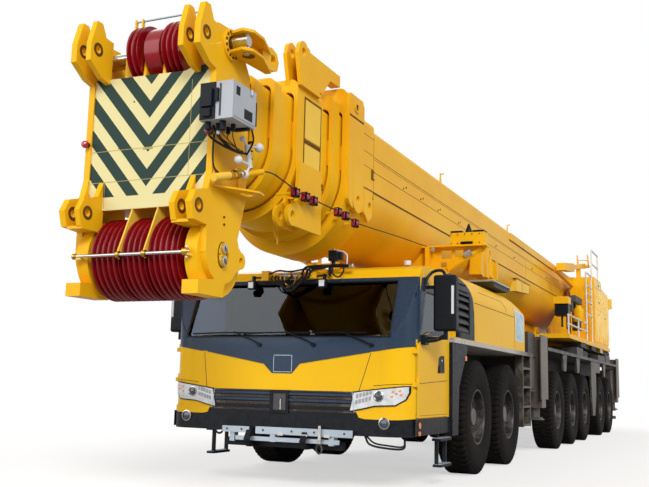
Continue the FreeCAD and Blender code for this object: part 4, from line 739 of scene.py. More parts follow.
# the lamp's lower and upper edge, and how far its rim reaches past them
headlamp = {
    "foot": ((0.806, 0.802), (0.93, 0.828), (1.071, 0.862), (1.279, 0.873), (1.364, 0.932), (1.388, 1.0)),
    "footRim": ((-0.014, -0.012), (0, -0.012), (0, -0.012), (0.005, -0.012), (0.012, -0.008), (0.018, 0)),
    "top": ((0.847, 0.986), (0.95, 1.001), (1.08, 1.018), (1.25, 1.04), (1.34, 1.052), (1.388, 1.057)),
    "topRim": ((-0.012, 0.012), (0, 0.012), (0, 0.012), (0, 0.012), (0.006, 0.012), (0.018, 0.01)),
    "amber": ((1.235, 0.945), (1.275, 0.975), (1.245, 0.995), (1.315, 0.965), (1.305, 1.005)),
    "ring": ((0.055, 0.0), (0.055, 0.014), (0.046, 0.018), (0.04, 0.01), (0.04, 0.0)),
    "lens": ((0.04, 0.0), (0.038, 0.01), (0.024, 0.018), (0.008, 0.021))}
fogLamp = {"ring": ((0.06, 0.0), (0.06, 0.016), (0.05, 0.02), (0.046, 0.008), (0.046, 0.0)),
           "lens": ((0.047, 0.0), (0.045, 0.008), (0.02, 0.014))}


def lampQuad(turn, y, z, wide, rise, lean, tall, thickness, steps):
    ends = np.array([[(y, z), (y + wide, z + rise)], [(y + lean, z + tall), (y + lean + wide, z + tall + rise)]])
    return cabPatch(*(ends * turn), 0.0145, thickness, steps, 1)


def makeLamps():
    rims, housings, cells, amber, rings, lenses, chrome, glass, black, orange = ([] for _ in range(10))
    for side in (1, -1):
        turn = np.array([side, 1])
        foot, footRim, top, topRim = (np.array(headlamp[k]) for k in ("foot", "footRim", "top", "topRim"))
        rims.append(cabPatch((foot + footRim) * turn, (top + topRim) * turn, 0.0, 0.012, 6, 3))
        housings.append(cabPatch(foot * turn, top * turn, 0.011, 0.004, 6, 4))
        cells += [lampQuad(turn, 0.862 + 0.036 * column + 0.008 * row, 0.868 + 0.062 * row + 0.01 * column,
                           0.026, 0.006, 0.003, 0.04, 0.004, 2) for column in range(5) for row in range(2)]
        amber += [lampQuad(turn, y, z, 0.022, 0.0, 0.004, 0.018, 0.003, 1) for y, z in headlamp["amber"]]
        centre = onCab(np.array([side * 1.115, 0.955]), 0.01)
        rings.append(revolve(headlamp["ring"], centre, "x", 32))
        lenses.append(disc(headlamp["lens"], centre, "x", 32))
        centre = onCab(np.array([side * 1.18, 0.685]), 0.006)
        chrome.append(revolve(fogLamp["ring"], centre, "x", 36))
        glass.append(disc(fogLamp["lens"], centre, "x", 36))
        black += [sideDrum(side, 0.042, 1.452, 1.464, 2.3, 0.665, 28),
                  *sideBricks(side, (2.262, 2.338, 1.452, 1.462, 0.56, 0.612))]
        orange += [sideDrum(side, 0.034, 1.46, 1.472, 2.3, 0.665, 28),
                   *sideBricks(side, (2.268, 2.332, 1.458, 1.468, 0.565, 0.607))]
    addPiece("lamp_units", [(blackPlastic, rims), (whiteLens, housings), (lampCell, cells), (amberLens, amber),
                            (brightSteel, rings), (darkLens, lenses)], replaced=("headlamps",))
    addPiece("fog_lamps", [(brightSteel, chrome), (darkLens, glass)])
    addPiece("side_lamps", [(blackPlastic, black), (amberLens, orange)], bevel=0.002)


door = {
    "glass": ((1.352, 1.672), (1.875, 1.63), (2.285, 1.538), (2.092, 2.098), (1.352, 2.098)),
    "outer": ((1.284, 1.655), (1.88, 1.605), (2.338, 1.515), (2.103, 2.145), (1.284, 2.145)),
    "inner": ((1.372, 1.692), (1.875, 1.652), (2.258, 1.562), (2.079, 2.078), (1.372, 2.078)),
    "recess": ((1.64, 1.215), (1.6, 1.384), (1.505, 1.412), (1.4, 1.412), (1.385, 1.225)),
    "pull": (1.434, 1.606, 1.449, 1.4635, 1.224, 1.296),
    # where the door's two crease lines run, with their widths: painted shade; the light line under the upper crease is
    # a painted highlight
    "creaseShade": ((((1.283, 1.137), (1.75, 1.117), (2.262, 1.094)), 0.006), (((1.283, 0.765), (2.262, 0.765)), 0.004)),
    "light": ((1.283, 1.13), (1.75, 1.11), (2.262, 1.087))}


def makeCabSides():
    sills, markers, gaps = [], [], []
    for side, word in sides:
        body = "door_" + word
        addPiece("door_glass_" + word, [(screenGlass, [sidePrism(side, door["glass"], 1.416, 1.423)])], body)
        band = frameRing(door["outer"], door["inner"], "y", *span(side, 1.4485, 1.4555))
        handle = [sidePrism(side, door["recess"], 1.449, 1.4535), *sideBricks(side, door["pull"])]
        lock = sideDrum(side, 0.016, 1.452, 1.46, 1.5, 1.355, 20)
        addPiece("door_frame_" + word, [(panelBlue, [band]), (blackPlastic, handle), (brightSteel, [lock])], body)
        # dark lines along each crease of the door are painted shade, and the pale line just under the upper crease is a
        # painted highlight
        creaseShade = [sideLine(side, points, width, 1.449, 1.4515) for points, width in door["creaseShade"]]
        lights = [sideLine(side, door["light"], 0.005, 1.449, 1.452)]
        addPiece("door_crease_shading_" + word, [(seamAndShadeBrown, creaseShade), (paleYellow, lights)], body)
        # a near-black sheet inside each door: painted shade
        addPiece("door_shade_lining_" + word, [(cabShadeLining, sideBricks(side, (1.3, 2.1, 1.386, 1.3945, 1.0, 1.6)))], body)
        sills += [sidePatch(side, *(level((1.2, 1.8, 2.412), z) for z in (0.562, 0.733)), 1.4495, 1.459),
                  cabPatch(*(level([side * y for y in (1.37, 1.42, 1.4496)], z) for z in (0.562, 0.733)),
                           0.0, 0.0115, 8, 2)]
        markers += sideBricks(side, (0.6, 0.66, 1.4905, 1.498, 1.385, 1.44))
        gaps.append(sideLine(side, [(2.353, z) for z in (0.742, 1.1, 1.5)], 0.006, 1.4485, 1.4495))
    addPiece("cab_sills", [(blackPlastic, sills), (amberLens, markers)])
    addPiece("door_gaps", [(seamAndShadeBrown, gaps)])
    # near-black back wall, roof and floor inside the cab: painted shade that darkens the inside behind the windows
    walls = bricks((1.2555, 1.2615, -1.385, 1.385, 0.966, 2.285), (1.262, 2.02, -1.36, 1.36, 2.286, 2.2945),
                   (1.262, 2.38, -1.33, 1.33, 0.9605, 0.966))
    addPiece("cab_shade_lining", [(cabShadeLining, walls)])


mirror = {
    "strip": (2.1095, 2.1145, 1.742, 1.77, 1.83, 2.13), "back": (1.9845, 1.9905, 1.565, 1.765, 1.69, 2.21),
    "black": ((2.12, 2.24, 1.451, 1.5, 1.5, 1.6), (2.1095, 2.112, 1.575, 1.7, 1.8, 1.806),
              (2.1095, 2.112, 1.7, 1.706, 1.66, 1.806)),
    "arm": ((2.16, 1.452, 2.075), (2.12, 1.47, 2.2), (2.08, 1.53, 2.285), (2.05, 1.62, 2.3), (2.05, 1.67, 2.235)),
    "foot": ((2.18, 1.452, 1.555), (2.14, 1.5, 1.545), (2.07, 1.58, 1.565), (2.05, 1.66, 1.6))}


def makeMirrors():
    for side, word in sides:
        turn = np.array([1, side, 1])
        black = [hose(mirror["arm"] * turn, 22, 0.017), hose(mirror["foot"] * turn, 16, 0.024),
                 *sideBricks(side, *mirror["black"])]
        addPiece("mirror_trim_" + word, [(blackPlastic, black), (whitePlastic, sideBricks(side, mirror["strip"])),
                                         (brightSteel, sideBricks(side, mirror["back"]))],
                 "door_" + word, bevel=0.0015)


# an arm from each pivot and the blade that it carries, as steps from the pivot's y
wiper = {"pivots": (-0.27, 0.38, 1.03), "arm": ((0, 1.478), (-0.1, 1.52), (-0.34, 1.605)),
         "blade": ((-0.88, 1.592), (-0.6, 1.602), (-0.34, 1.606), (-0.06, 1.6))}


def makeWipers():
    parts = []
    for pivot in wiper["pivots"]:
        arm, blade = (onCab(np.array(wiper[key]) + [pivot, 0], out) for key, out in (("arm", 0.028), ("blade", 0.012)))
        parts += [drum(0.022, 0.0, 0.03, onCab(np.array([pivot, 1.475]), 0.0), "x", 20),
                  hose(arm, 14, 0.008, 8), hose(blade, 20, 0.009, 6)]
    addPiece("wipers", [(blackPlastic, parts)])


recovery = {
    "plates": ((2.655, 2.668, -0.66, -0.33, 0.535, 0.6), (2.655, 2.668, -0.25, 0.87, 0.53, 0.605),
               (2.64, 2.655, -0.5, 0.72, 0.455, 0.5), (2.56, 2.642, -0.58, -0.52, 0.44, 0.59),
               (2.56, 2.657, 0.6, 0.66, 0.44, 0.6), (2.56, 2.657, -0.08, -0.02, 0.45, 0.6)),
    "holes": (-0.6, -0.42, -0.16, 0.18, 0.44, 0.78), "clamps": (0.02, 0.3, 0.56),
    "steps": (((2.52, 0.95, 0.55), (2.52, 1.0, 0.47), (2.52, 1.15, 0.44), (2.52, 1.36, 0.44), (2.52, 1.38, 0.53)),
              ((2.44, 0.93, 0.55), (2.44, 1.02, 0.48), (2.44, 1.16, 0.46), (2.44, 1.33, 0.455), (2.44, 1.36, 0.53))),
    "treads": ((1.235, 1.645, 0.5065), (1.235, 1.615, 0.2265))}


def makeRecoveryFrame():
    # dark discs on the plates' holes: painted shade inside the holes
    dark = [drum(0.012, 2.6675, 2.6695, (0, y, 0.568), "x", 18) for y in recovery["holes"]]
    dark.append(link((2.7, 0.515, 0.405), (0, 0.032, 0), (0, 0, 0.045), 0.009))
    clamps = bricks(*((2.664, 2.69, y, y + 0.07, 0.522, 0.545) for y in recovery["clamps"]),
                    (2.66, 2.7, 0.5, 0.53, 0.45, 0.64))
    clamps.append(drum(0.02, 2.66, 2.71, (0, 0.515, 0.5), "x", 16))
    addPiece("tow_plates", [(cleanSteel, bricks(*recovery["plates"])), (axleIronAndShade, dark), (brightSteel, clamps)],
             bevel=0.002)
    loops = [hose(points, 26, radius) for points, radius in zip(recovery["steps"], (0.011, 0.009))]
    loops.append(link((2.58, -0.75, 0.56), (0, 0.05, 0), (0, 0, 0.05), 0.012))
    addPiece("step_loops", [(blackPlastic, loops)])
    treads = []
    for side in (-1, 1):
        for rear, end, z in recovery["treads"]:
            treads += sideBricks(side, (rear, end, 1.394, 1.486, z, z + 0.004),
                                 *((x, x + 0.012, 1.4, 1.48, z + 0.004, z + 0.01)
                                   for x in np.arange(rear + 0.02, end - 0.02, 0.045)))
    addPiece("step_treads", [(cleanSteel, treads)])


makeSurround()
makeFront()
makeGrille()
makeLamps()
makeCabSides()
makeMirrors()
makeWipers()
makeRecoveryFrame()
print("cab made")

# engine hood

hood = {
    "side": 1.4, "shoulder": 2.15, "arc": 0.395, "slats": 5, "slatFoot": 1.7303, "slatStep": 0.0959,
    "louvre": ((0.7495, 1.668), (0.7495, 2.0), (0.7495, 2.43), (0.45, 2.475), (0.2, 2.47), (0.02, 2.27),
               (-0.075, 2.0), (-0.09, 1.668), (0.7495, 1.668)),
    "opening": ((0.672, 1.729), (0.672, 2.0), (0.672, 2.209), (0.45, 2.209), (0.149, 2.209), (0.149, 2.1),
                (0.149, 1.95), (0.149, 1.729), (0.672, 1.729)),
    "box": ((0.12, 0.7, 1.328, 1.342, 1.7, 2.24), (0.66, 0.671, 1.34, 1.4095, 1.7295, 2.2105),
            (0.1495, 0.158, 1.34, 1.4095, 1.7295, 2.2105), (0.15, 0.67, 1.34, 1.4095, 1.7295, 1.738),
            (0.15, 0.67, 1.34, 1.4095, 2.202, 2.2105)),
    "seams": ((((-0.1, 2.158), (-1.3, 2.158), (-2.52, 2.158)), 0.007),
              (((-2.52, 1.67), (-2.52, 1.9), (-2.52, 2.3)), 0.006),
              (((-0.45, 2.33), (-1.0, 2.335), (-1.75, 2.335), (-1.95, 2.25), (-1.95, 2.19)), 0.005)),
    "frame": (((-2.575, 1.81), (-2.57, 2.05), (-2.56, 2.3)), ((-3.125, 1.795), (-3.16, 2.03), (-3.2, 2.245))),
    "sheet": (((-2.6, 1.835), (-2.595, 2.05), (-2.59, 2.27)), ((-3.1, 1.82), (-3.13, 2.02), (-3.165, 2.222)))}


def onHood(places, side, out):
    # places (x, z) on an upright side that turns into a round shoulder, moved out along its normal
    x, z = places[..., 0], places[..., 1]
    rise = np.clip((z - hood["shoulder"]) / hood["arc"], 0, 0.999)
    flat = np.sqrt(1 - rise ** 2)
    y = hood["side"] - hood["arc"] + hood["arc"] * flat
    return np.stack([x, side * (y + out * flat), z + out * rise], -1)


def hoodPatch(side, first, second, out, thickness, steps=6, across=6):
    lines = ruled(first, second, steps, across)
    return slab(onHood(lines, side, out + thickness), onHood(lines, side, out))


def makeHood():
    dark, slats, seams, frames, panels = ([] for _ in range(5))
    for side in (-1, 1):
        dark += [hoodPatch(side, hood["louvre"], hood["opening"], 0.0, 0.012, 4, 10),
                 *(hoodPatch(side, level((0.17, 0.66), z), level((0.17, 0.66), z + 0.022), 0.011, 0.016, 4, 2)
                   for z in (2.245, 2.335)), *sideBricks(side, *hood["box"])]
        for i in range(hood["slats"]):
            z = hood["slatFoot"] + hood["slatStep"] * (i + 0.5)
            section = ((1.404, z - 0.03), (1.404, z - 0.003), (1.351, z + 0.048), (1.351, z + 0.019))
            slats.append(prism([(side * y, h) for y, h in section], "x", 0.1495, 0.6705))
        seams += [hoodPatch(side, *stroke(points, width), 0.0005, 0.002, 8, 1) for points, width in hood["seams"]]
        frames.append(hoodPatch(side, *hood["frame"], 0.0, 0.003))
        panels.append(hoodPatch(side, *hood["sheet"], 0.002, 0.003))
    addPiece("hood_louvre", [(blackPlastic, dark), (trimGrey, slats)], smooth=30)
    addPiece("hood_seams", [(seamAndShadeBrown, seams)])
    addPiece("hood_panels", [(whitePlastic, frames), (paleBlue, panels)])
    lid = bricks(*((-1.9, 0.2, y - 0.004, y + 0.004, 2.5445, 2.5465) for y in (-0.7, 0.7)))
    hinges = bricks(*((x, x + 0.12, y - 0.03, y + 0.03, 2.5445, 2.553) for x in (-1.5, -0.6, 0.1) for y in (-0.7, 0.7)))
    addPiece("hood_lid", [(seamAndShadeBrown, lid), (trimGrey, hinges)])
    tray = prism([(-2.62, 2.5495), (-1.75, 2.5495), (-1.62, 2.62), (-2.7, 2.62)], "y", 0.92, 1.28)
    edge = frameRing(corners(-2.72, -1.6, 0.9, 1.3), corners(-2.68, -1.64, 0.94, 1.26), "z", 2.618, 2.64)
    addPiece("hood_tray", [(cleanSteel, [edge]), (trimGrey, [tray])], bevel=0.002)


makeHood()
print("hood made")

# sheaves at the boom head: the place where each group of grooves starts and their count

lowerSheave = {"place": (4.95, 0, 2.08), "radius": 0.355, "depth": 0.042, "pitch": 0.056,
               "groups": ((-0.426, 5), (-0.112, 4), (0.146, 5))}
upperSheave = {"place": (4.985, 0, 3.885), "radius": 0.27, "depth": 0.045, "pitch": 0.056,
               "groups": ((-0.236, 2), (0.124, 3))}


def grooveRow(sheave, start, count):
    # rim radius along the row: each groove falls by a rounded cosine between narrow flat rims
    spots = np.linspace(0, count, count * 12 + 1)
    part = spots % 1.0
    flat = 0.11
    dip = 0.5 - 0.5 * np.cos((part - flat) / (1 - 2 * flat) * 2 * np.pi)
    radius = sheave["radius"] - sheave["depth"] * np.where((part > flat) & (part < 1 - flat), dip, 0.0) ** 0.7
    along = start + spots * sheave["pitch"]
    return revolve([(0.075, along[0]), *zip(radius, along), (0.075, along[-1])], sheave["place"], "y", 96)


def makeSheaves():
    upper = upperSheave["place"]
    extras = {"lower": ([], drum(0.08, -0.44, -0.43, lowerSheave["place"], "y")),
              "upper": ([drum(0.236, -0.078, 0.078, upper, "y", 72)], drum(0.115, 0.078, 0.084, upper, "y", 40))}
    for word, sheave in (("lower", lowerSheave), ("upper", upperSheave)):
        wide, cover = extras[word]
        rows = [grooveRow(sheave, *group) for group in sheave["groups"]]
        axle = drum(0.0695, -0.58, 0.58, sheave["place"], "y", 40)
        addPiece("sheaves_" + word, [(sheaveRed, rows + wide), (brightSteel, [axle]), (blackPlastic, [cover])],
                 "sheaves_" + word, ("head_sheaves_" + word,))


makeSheaves()
print("sheaves made")

# boom head

head = {"plateFront": 5.18, "halfWidth": 0.597, "top": 3.655, "foot": 2.48, "side": 0.65, "rod": (5.335, 2.07),
        "upperAxle": (4.985, 3.885), "keeper": (4.992, 2.086)}


def makeWarningPlate():
    x, w, top, foot = (head[key] for key in ("plateFront", "halfWidth", "top", "foot"))
    outline = [(-w, foot + 0.16), (-w + 0.12, foot), (w - 0.12, foot), (w, foot + 0.16), (w, top - 0.1),
               (w - 0.05, top + 0.01), (0.42, top + 0.01), (0.34, top - 0.02), (-w, top)]
    addPiece("warning_plate", [(striped, [prism(outline, "x", x, x + 0.006)])], "boom_6", bevel=0.002)
    near, far = x + 0.0062, x + 0.0072
    seams = bricks(*((near, far, -w + 0.01, w - 0.01, z, z + 0.005) for z in (2.725, 3.0)),
                   (near, far, 0.41, 0.414, 2.73, 3.55), (near, far, -0.43, -0.426, 2.5, 2.72),
                   (near, x + 0.009, -0.05, 0.05, 2.985, 2.998))
    dots = [drum(0.008, x + 0.006, x + 0.0085, (0, y, z), "x", 12)
            for y, z in ((-0.3, 3.02), (0.33, 3.1), (0.17, 3.46), (-0.17, 3.42))]
    addPiece("plate_seams", [(plateSeam, seams), (seamAndShadeBrown, dots)], "boom_6")


ropeGuard = {
    "blade": ((5.176, 2.6), (5.184, 2.47), (5.3, 2.2), (5.345, 2.1), (5.345, 2.045), (5.315, 2.035), (5.24, 2.22),
              (5.1, 2.4), (5.1, 2.56)),
    "collars": ((0.03, -0.145, -0.113), (0.03, 0.113, 0.145), (0.027, -0.59, -0.56), (0.032, 0.5, 0.545)),
    "post": ((4.965, 3.585), (5.035, 3.585), (5.02, 4.255), (4.985, 4.255))}


def makeRopeGuards():
    # a bright bar in front of the lower sheaves and a thin one above the upper ones, each on its blades
    x, z = head["rod"]
    steel = [drum(0.014, -0.575, 0.56, (x, 0, z), "y", 16),
             drum(0.01, z - 0.05, z + 0.055, (x - 0.02, 0.522, 0), "z", 12)]
    collars = [drum(radius, low, high, (x, 0, z), "y", 16) for radius, low, high in ropeGuard["collars"]]
    blades = [prism(ropeGuard["blade"], "y", y - 0.007, y + 0.007) for y in (-0.129, 0.129)]
    for side in (-1, 1):
        blades += sideBricks(side, (5.2, 5.345, 0.505, 0.555, z - 0.03, z - 0.012))
    addPiece("rope_guard_lower", [(brightSteel, steel), (brass, collars), (paleYellow, blades)], "boom_6",
             bevel=0.0015)
    posts = [prism(ropeGuard["post"], "y", y, y + 0.013) for y in (-0.34, -0.268)]
    posts.append(brick(5.035, 5.12, -0.335, -0.255, 3.585, 3.86))
    thin = drum(0.009, -0.345, 0.445, (5.0, 0, 4.235), "y", 12)
    addPiece("rope_guard_upper", [(cleanSteel, [thin]), (paleYellow, posts)], "boom_6", bevel=0.0015)


# covers on the ends of the head's axles, and a folding link beside the upper one
axleEnd = {
    "cup": ((0.04, 0.0), (0.04, 0.026), (0.024, 0.03), (0.02, 0.012)),
    "flange": ((0.138, 0.0), (0.138, 0.016), (0.132, 0.02), (0.08, 0.02), (0.08, 0.0)),
    "arm": ((5.03, 0.665), (4.9, 0.655), (4.45, 0.7), (4.45, 0.755), (4.8, 0.865), (4.98, 0.865), (5.06, 0.8)),
    "web": ((4.82, 3.815), (4.82, 3.99), (4.42, 4.02), (4.42, 3.84)),
    "eye": ((4.62, 4.0), (4.46, 4.045), (4.36, 4.02), (4.318, 3.945), (4.345, 3.86), (4.43, 3.835), (4.62, 3.835)),
    "hole": ((4.47, 3.975), (4.43, 3.985), (4.395, 3.975), (4.375, 3.945), (4.39, 3.915), (4.43, 3.905),
             (4.47, 3.915)),
    "earFaces": ((0.6501, 0.6525), (0.5895, 0.5919), (0.4901, 0.4925), (0.4375, 0.4399))}


def makeAxleEnds():
    steel, dark, painted, rings = ([] for _ in range(4))
    near = head["side"]
    (cx, cz), (ux, uz) = head["keeper"], head["upperAxle"]
    turn = np.arange(24) * math.pi / 12
    oval = np.stack([0.058 * np.cos(turn), 0.098 * np.sin(turn)], -1)
    ringTurn = np.arange(14) * 2 * np.pi / 14 + 0.2
    for side in (-1, 1):
        outward = "y" if side > 0 else "-y"
        cup, flange = ([(r, side * out) for r, out in axleEnd[key]] for key in ("cup", "flange"))
        painted.append(sidePrism(side, oval + [cx, cz], near, near + 0.012))
        dark.append(frameRing(oval * [1.16, 1.1] + [cx, cz], oval * 0.99 + [cx, cz], "y",
                              *span(side, near, near + 0.005)))
        for z in (cz + 0.05, cz - 0.05):
            steel.append(revolve(cup, (cx + 0.004, side * (near + 0.01), z), "y", 24))
            dark.append(sideDrum(side, 0.022, near + 0.008, near + 0.024, cx + 0.004, z, 20))
        nuts = ((cx - 0.05, cz + 0.01), (cx + 0.05, cz), (4.99, 2.4), (4.985, 2.34))
        dark.append(bolts([(x, side * near, z) for x, z in nuts], outward, 0.009, 0.012))
        painted.append(revolve(flange, (ux, side * near, uz), "y", 40))
        dark += [bolts([(ux + 0.112 * math.cos(a), side * (near + 0.019), uz + 0.112 * math.sin(a)) for a in ringTurn],
                       outward, 0.012, 0.008, 10), sideDrum(side, 0.078, near - 0.02, near + 0.004, ux, uz, 32)]
        steel.append(sideDrum(side, 0.05, near - 0.02, near + 0.175, ux, uz + 0.016, 28))
        # folding link: two level plates on an upright pin, and an eye plate at their far end
        arm = [(x, side * y) for x, y in axleEnd["arm"]]
        painted += [prism(arm, "z", low, low + 0.024) for low in (3.805, 3.972)]
        painted += [sidePrism(side, axleEnd["web"], 0.7, 0.716),
                    frameRing(axleEnd["eye"], axleEnd["hole"], "y", *span(side, 0.705, 0.76))]
        steel.append(drum(0.03, 3.79, 4.005, (4.965, side * 0.79, 0), "z", 20))
        dark.append(drum(0.055, 3.8, 3.8045, (4.9, side * 0.775, 0), "z", 28))
        # dark rings round the bore of each ear: painted shade of the bore's inner wall
        for z in (2.43, 3.86):
            for face in axleEnd["earFaces"]:
                low, high = span(side, *face)
                rings.append(revolve(corners(0.06, 0.0335, low, high), (5.37, 0, z), "y", 40))
    addPiece("ear_bore_shade", [(seamAndShadeBrown, rings)], "boom_6")
    addPiece("head_axle_ends", [(yellow, painted), (brightSteel, steel), (seamAndShadeBrown, dark)], "boom_6", smooth=30)


def makeHeadLamps():
    ball = ((0.02, 0.0), (0.032, 0.012), (0.034, 0.024), (0.028, 0.042), (0.014, 0.052))
    bases = [drum(0.022, 5.198, 5.222, (0, y, 3.07), "x", 16) for y in (-0.622, 0.622)]
    balls = [disc(ball, (5.22, y, 3.07), "x", 20) for y in (-0.622, 0.622)]
    addPiece("head_marker_lamps", [(blackPlastic, bases), (redLens, balls)], "boom_6")


controlCase = {
    "shell": ((5.056, 5.4235, 0.6504, 0.9525, 3.0965, 3.4035), (5.075, 5.405, 0.9525, 0.9575, 3.115, 3.385)),
    "black": ((5.4235, 5.4325, 0.655, 0.795, 3.1, 3.4), (5.4325, 5.458, 0.675, 0.775, 3.2, 3.345),
              (5.4325, 5.452, 0.69, 0.76, 3.12, 3.185), (5.4235, 5.445, 0.8, 0.825, 3.24, 3.345),
              (5.325, 5.385, 0.9575, 0.959, 3.295, 3.365), (5.12, 5.25, 0.9575, 0.959, 3.135, 3.215),
              (5.022, 5.056, 0.79, 0.945, 3.13, 3.33), (5.1, 5.14, 0.8, 0.93, 3.075, 3.0965)),
    "plugs": ((5.37, 0.7, 0.024, 3.03), (5.31, 0.76, 0.02, 3.035), (5.36, 0.83, 0.026, 3.02),
              (5.25, 0.86, 0.02, 3.04), (5.19, 0.78, 0.018, 3.04))}


def makeControlCase():
    # pale case over the plain block: dark plugs on its front and below it, and two dark labels left bare
    black = bricks(*controlCase["black"])
    black += [drum(r, low, 3.0965, (x, y, 0), "z", 16) for x, y, r, low in controlCase["plugs"]]
    silver = [drum(0.016, 3.005, 3.035, (5.31, 0.76, 0), "z", 14), drum(0.012, 3.35, 3.4, (5.15, 0.964, 0), "z", 10)]
    addPiece("control_case", [(caseGrey, bricks(*controlCase["shell"])), (blackPlastic, black),
                              (cleanSteel, silver), (trimGrey, [brick(5.4235, 5.4285, 0.83, 0.845, 3.12, 3.385)])],
             "boom_6", bevel=0.003)


# radius, steps along it, then the places that the lead passes
headCables = (
    (0.013, 34, ((5.215, 0.635, 3.09), (5.25, 0.665, 3.13), (5.285, 0.71, 3.06), (5.24, 0.75, 2.985),
                 (5.1, 0.775, 2.935), (4.97, 0.79, 2.945))),
    (0.01, 28, ((5.37, 0.7, 3.035), (5.35, 0.715, 2.98), (5.22, 0.745, 2.945), (5.05, 0.79, 2.925),
                (4.93, 0.8, 2.94))),
    (0.008, 28, ((5.205, 0.66, 3.05), (5.225, 0.665, 2.95), (5.225, 0.67, 2.82), (5.205, 0.68, 2.755),
                 (5.13, 0.7, 2.72))),
    (0.008, 22, ((5.04, 0.9, 3.14), (5.0, 0.91, 3.03), (4.97, 0.86, 2.96), (4.93, 0.81, 2.93))))


def makeHeadCables():
    thick = [hose(points, count, radius) for radius, count, points in headCables]
    thin = [hose([(x, y, 3.04), (x - 0.02, y - 0.01, 3.0), (5.1 - 0.02 * i, 0.79, 2.955),
                  (5.0 - 0.02 * i, 0.795, 2.935)], 20, 0.005, 6)
            for i, (x, y) in enumerate(((5.31, 0.76), (5.36, 0.83), (5.25, 0.86), (5.19, 0.78)))]
    addPiece("head_cables", [(rubberBlack, thick), (seamAndShadeBrown, thin)], "boom_6", smooth=60)


windGauge = {
    "plate": ((5.19, 0.652), (5.0, 0.652), (4.8, 0.652), (4.62, 0.652), (4.6, 0.74), (4.7, 0.865), (4.82, 0.885),
              (4.98, 0.79)),
    "hole": ((4.875, 0.745), (4.855, 0.715), (4.79, 0.705), (4.73, 0.715), (4.715, 0.755), (4.745, 0.8),
             (4.8, 0.81), (4.855, 0.785)),
    "stays": ((5.09, 5.19, 0.6505, 0.672, 2.637, 2.78), (4.7, 4.8, 0.6505, 0.665, 2.637, 2.8),
              (4.72, 4.76, 0.66, 0.8, 2.8, 2.812)),
    "bars": ((0.024, 14, ((4.85, 0.8, 2.835), (4.872, 0.8, 2.9), (4.914, 0.8, 3.02))),
             (0.008, 8, ((4.914, 0.8, 3.01), (4.83, 0.81, 3.022), (4.741, 0.82, 3.037))),
             (0.008, 8, ((4.914, 0.8, 3.01), (4.98, 0.8, 3.045))),
             (0.011, 8, ((4.855, 0.8, 2.86), (4.95, 0.8, 2.86), (5.034, 0.8, 2.86))),
             (0.01, 8, ((4.855, 0.8, 2.85), (4.89, 0.8, 2.8), (4.927, 0.8, 2.77)))),
    "cups": ((4.741, 0.82, 3.037, 0.04), (4.985, 0.8, 3.05, 0.026), (5.045, 0.8, 2.86, 0.036),
             (4.93, 0.8, 2.762, 0.036))}


def makeWindGauge():
    # a level pipe beside the head, a three-sided plate below it, and a cup gauge standing on it
    painted = [tube([(5.1, 0.745, 2.718), (4.9, 0.77, 2.773), (4.637, 0.8, 2.852)], 0.027, 14),
               frameRing(windGauge["plate"], windGauge["hole"], "z", 2.622, 2.637), *bricks(*windGauge["stays"])]
    sleeve = tube([(5.285, 0.72, 2.665), (5.2, 0.73, 2.69), (5.09, 0.745, 2.721)], 0.033, 14)
    fittings = [tube([(x, 0.745 + (5.1 - x) * 0.12, 2.718 + (5.1 - x) * 0.289),
                      (x - 0.045, 0.75 + (5.1 - x) * 0.12, 2.731 + (5.1 - x) * 0.289)], 0.037, 14)
                for x in (5.09, 5.01)]
    fittings.append(link((5.0, 0.785, 2.765), (0.05, 0.0, 0.015), (0.0, 0.05, 0.0), 0.008))
    addPiece("head_pipe", [(yellow, painted), (paleYellow, [sleeve]), (brass, fittings)], "boom_6", smooth=40)
    gauge = [tube(points, radius, count) for radius, count, points in windGauge["bars"]]
    turn = np.linspace(0.02, math.pi - 0.02, 12)
    gauge += [revolve(np.stack([r * np.sin(turn), -r * np.cos(turn)], -1), (x, y, z), "z", 20)
              for x, y, z, r in windGauge["cups"]]
    addPiece("wind_gauge", [(whitePlastic, gauge)], "boom_6", smooth=50)


makeWarningPlate()
makeRopeGuards()
makeAxleEnds()
makeHeadLamps()
makeControlCase()
makeHeadCables()
makeWindGauge()
print("boom head made")

# telescope: latches, lifting links, framed panels and the lamp cable that is cut at each sliding collar

telescope = {
    "latches": ((0.455, 3.5), (0.455, 3.36), (0.465, 3.14), (0.465, 2.98), (0.4, 2.84)),
    "linkAxes": (((0.028, 0, -0.012), (0.012, 0, 0.055)), ((0.02, 0.012, 0), (0.014, 0, 0.05))),
    "links": (("head", "boom_6", ((4.575, 0.4, 2.452), (4.535, 0.4, 2.385))),
              ("collar", "boom_3", ((3.595, 0.4, 2.535), (3.56, 0.4, 2.455)))),
    "panels": ((3.5, 3.9), (3.1, 3.44))}
lampBoxes = {"boom_3": ((3.785, 0.7, 2.856), (3.56, 0.7, 2.86), (3.38, 0.7, 2.856)),
             "boom_1": ((2.85, 0.735, 2.842), (2.65, 0.735, 2.838), (2.38, 0.735, 2.806))}
cableRuns = {
    "boom_6": ((4.66, 0.8, 2.845), (4.56, 0.775, 2.875), (4.42, 0.76, 2.9), (4.31, 0.755, 2.905)),
    "boom_3": ((4.305, 0.755, 2.905), (4.05, 0.735, 2.89), (3.785, 0.712, 2.872), (3.56, 0.706, 2.868),
               (3.1, 0.715, 2.862), (2.99, 0.722, 2.858)),
    "boom_1": ((2.985, 0.722, 2.858), (2.85, 0.735, 2.855), (2.65, 0.735, 2.85), (2.38, 0.735, 2.82),
               (1.882, 0.705, 2.85), (0.93, 0.695, 2.905), (-0.3, 0.69, 2.96))}


def latch(x, y, z):
    # a flat black C
    return bricks((x, x + 0.014, y, y + 0.012, z, z + 0.1), (x, x + 0.014, y, y + 0.05, z + 0.088, z + 0.1),
                  (x, x + 0.014, y, y + 0.05, z, z + 0.012))


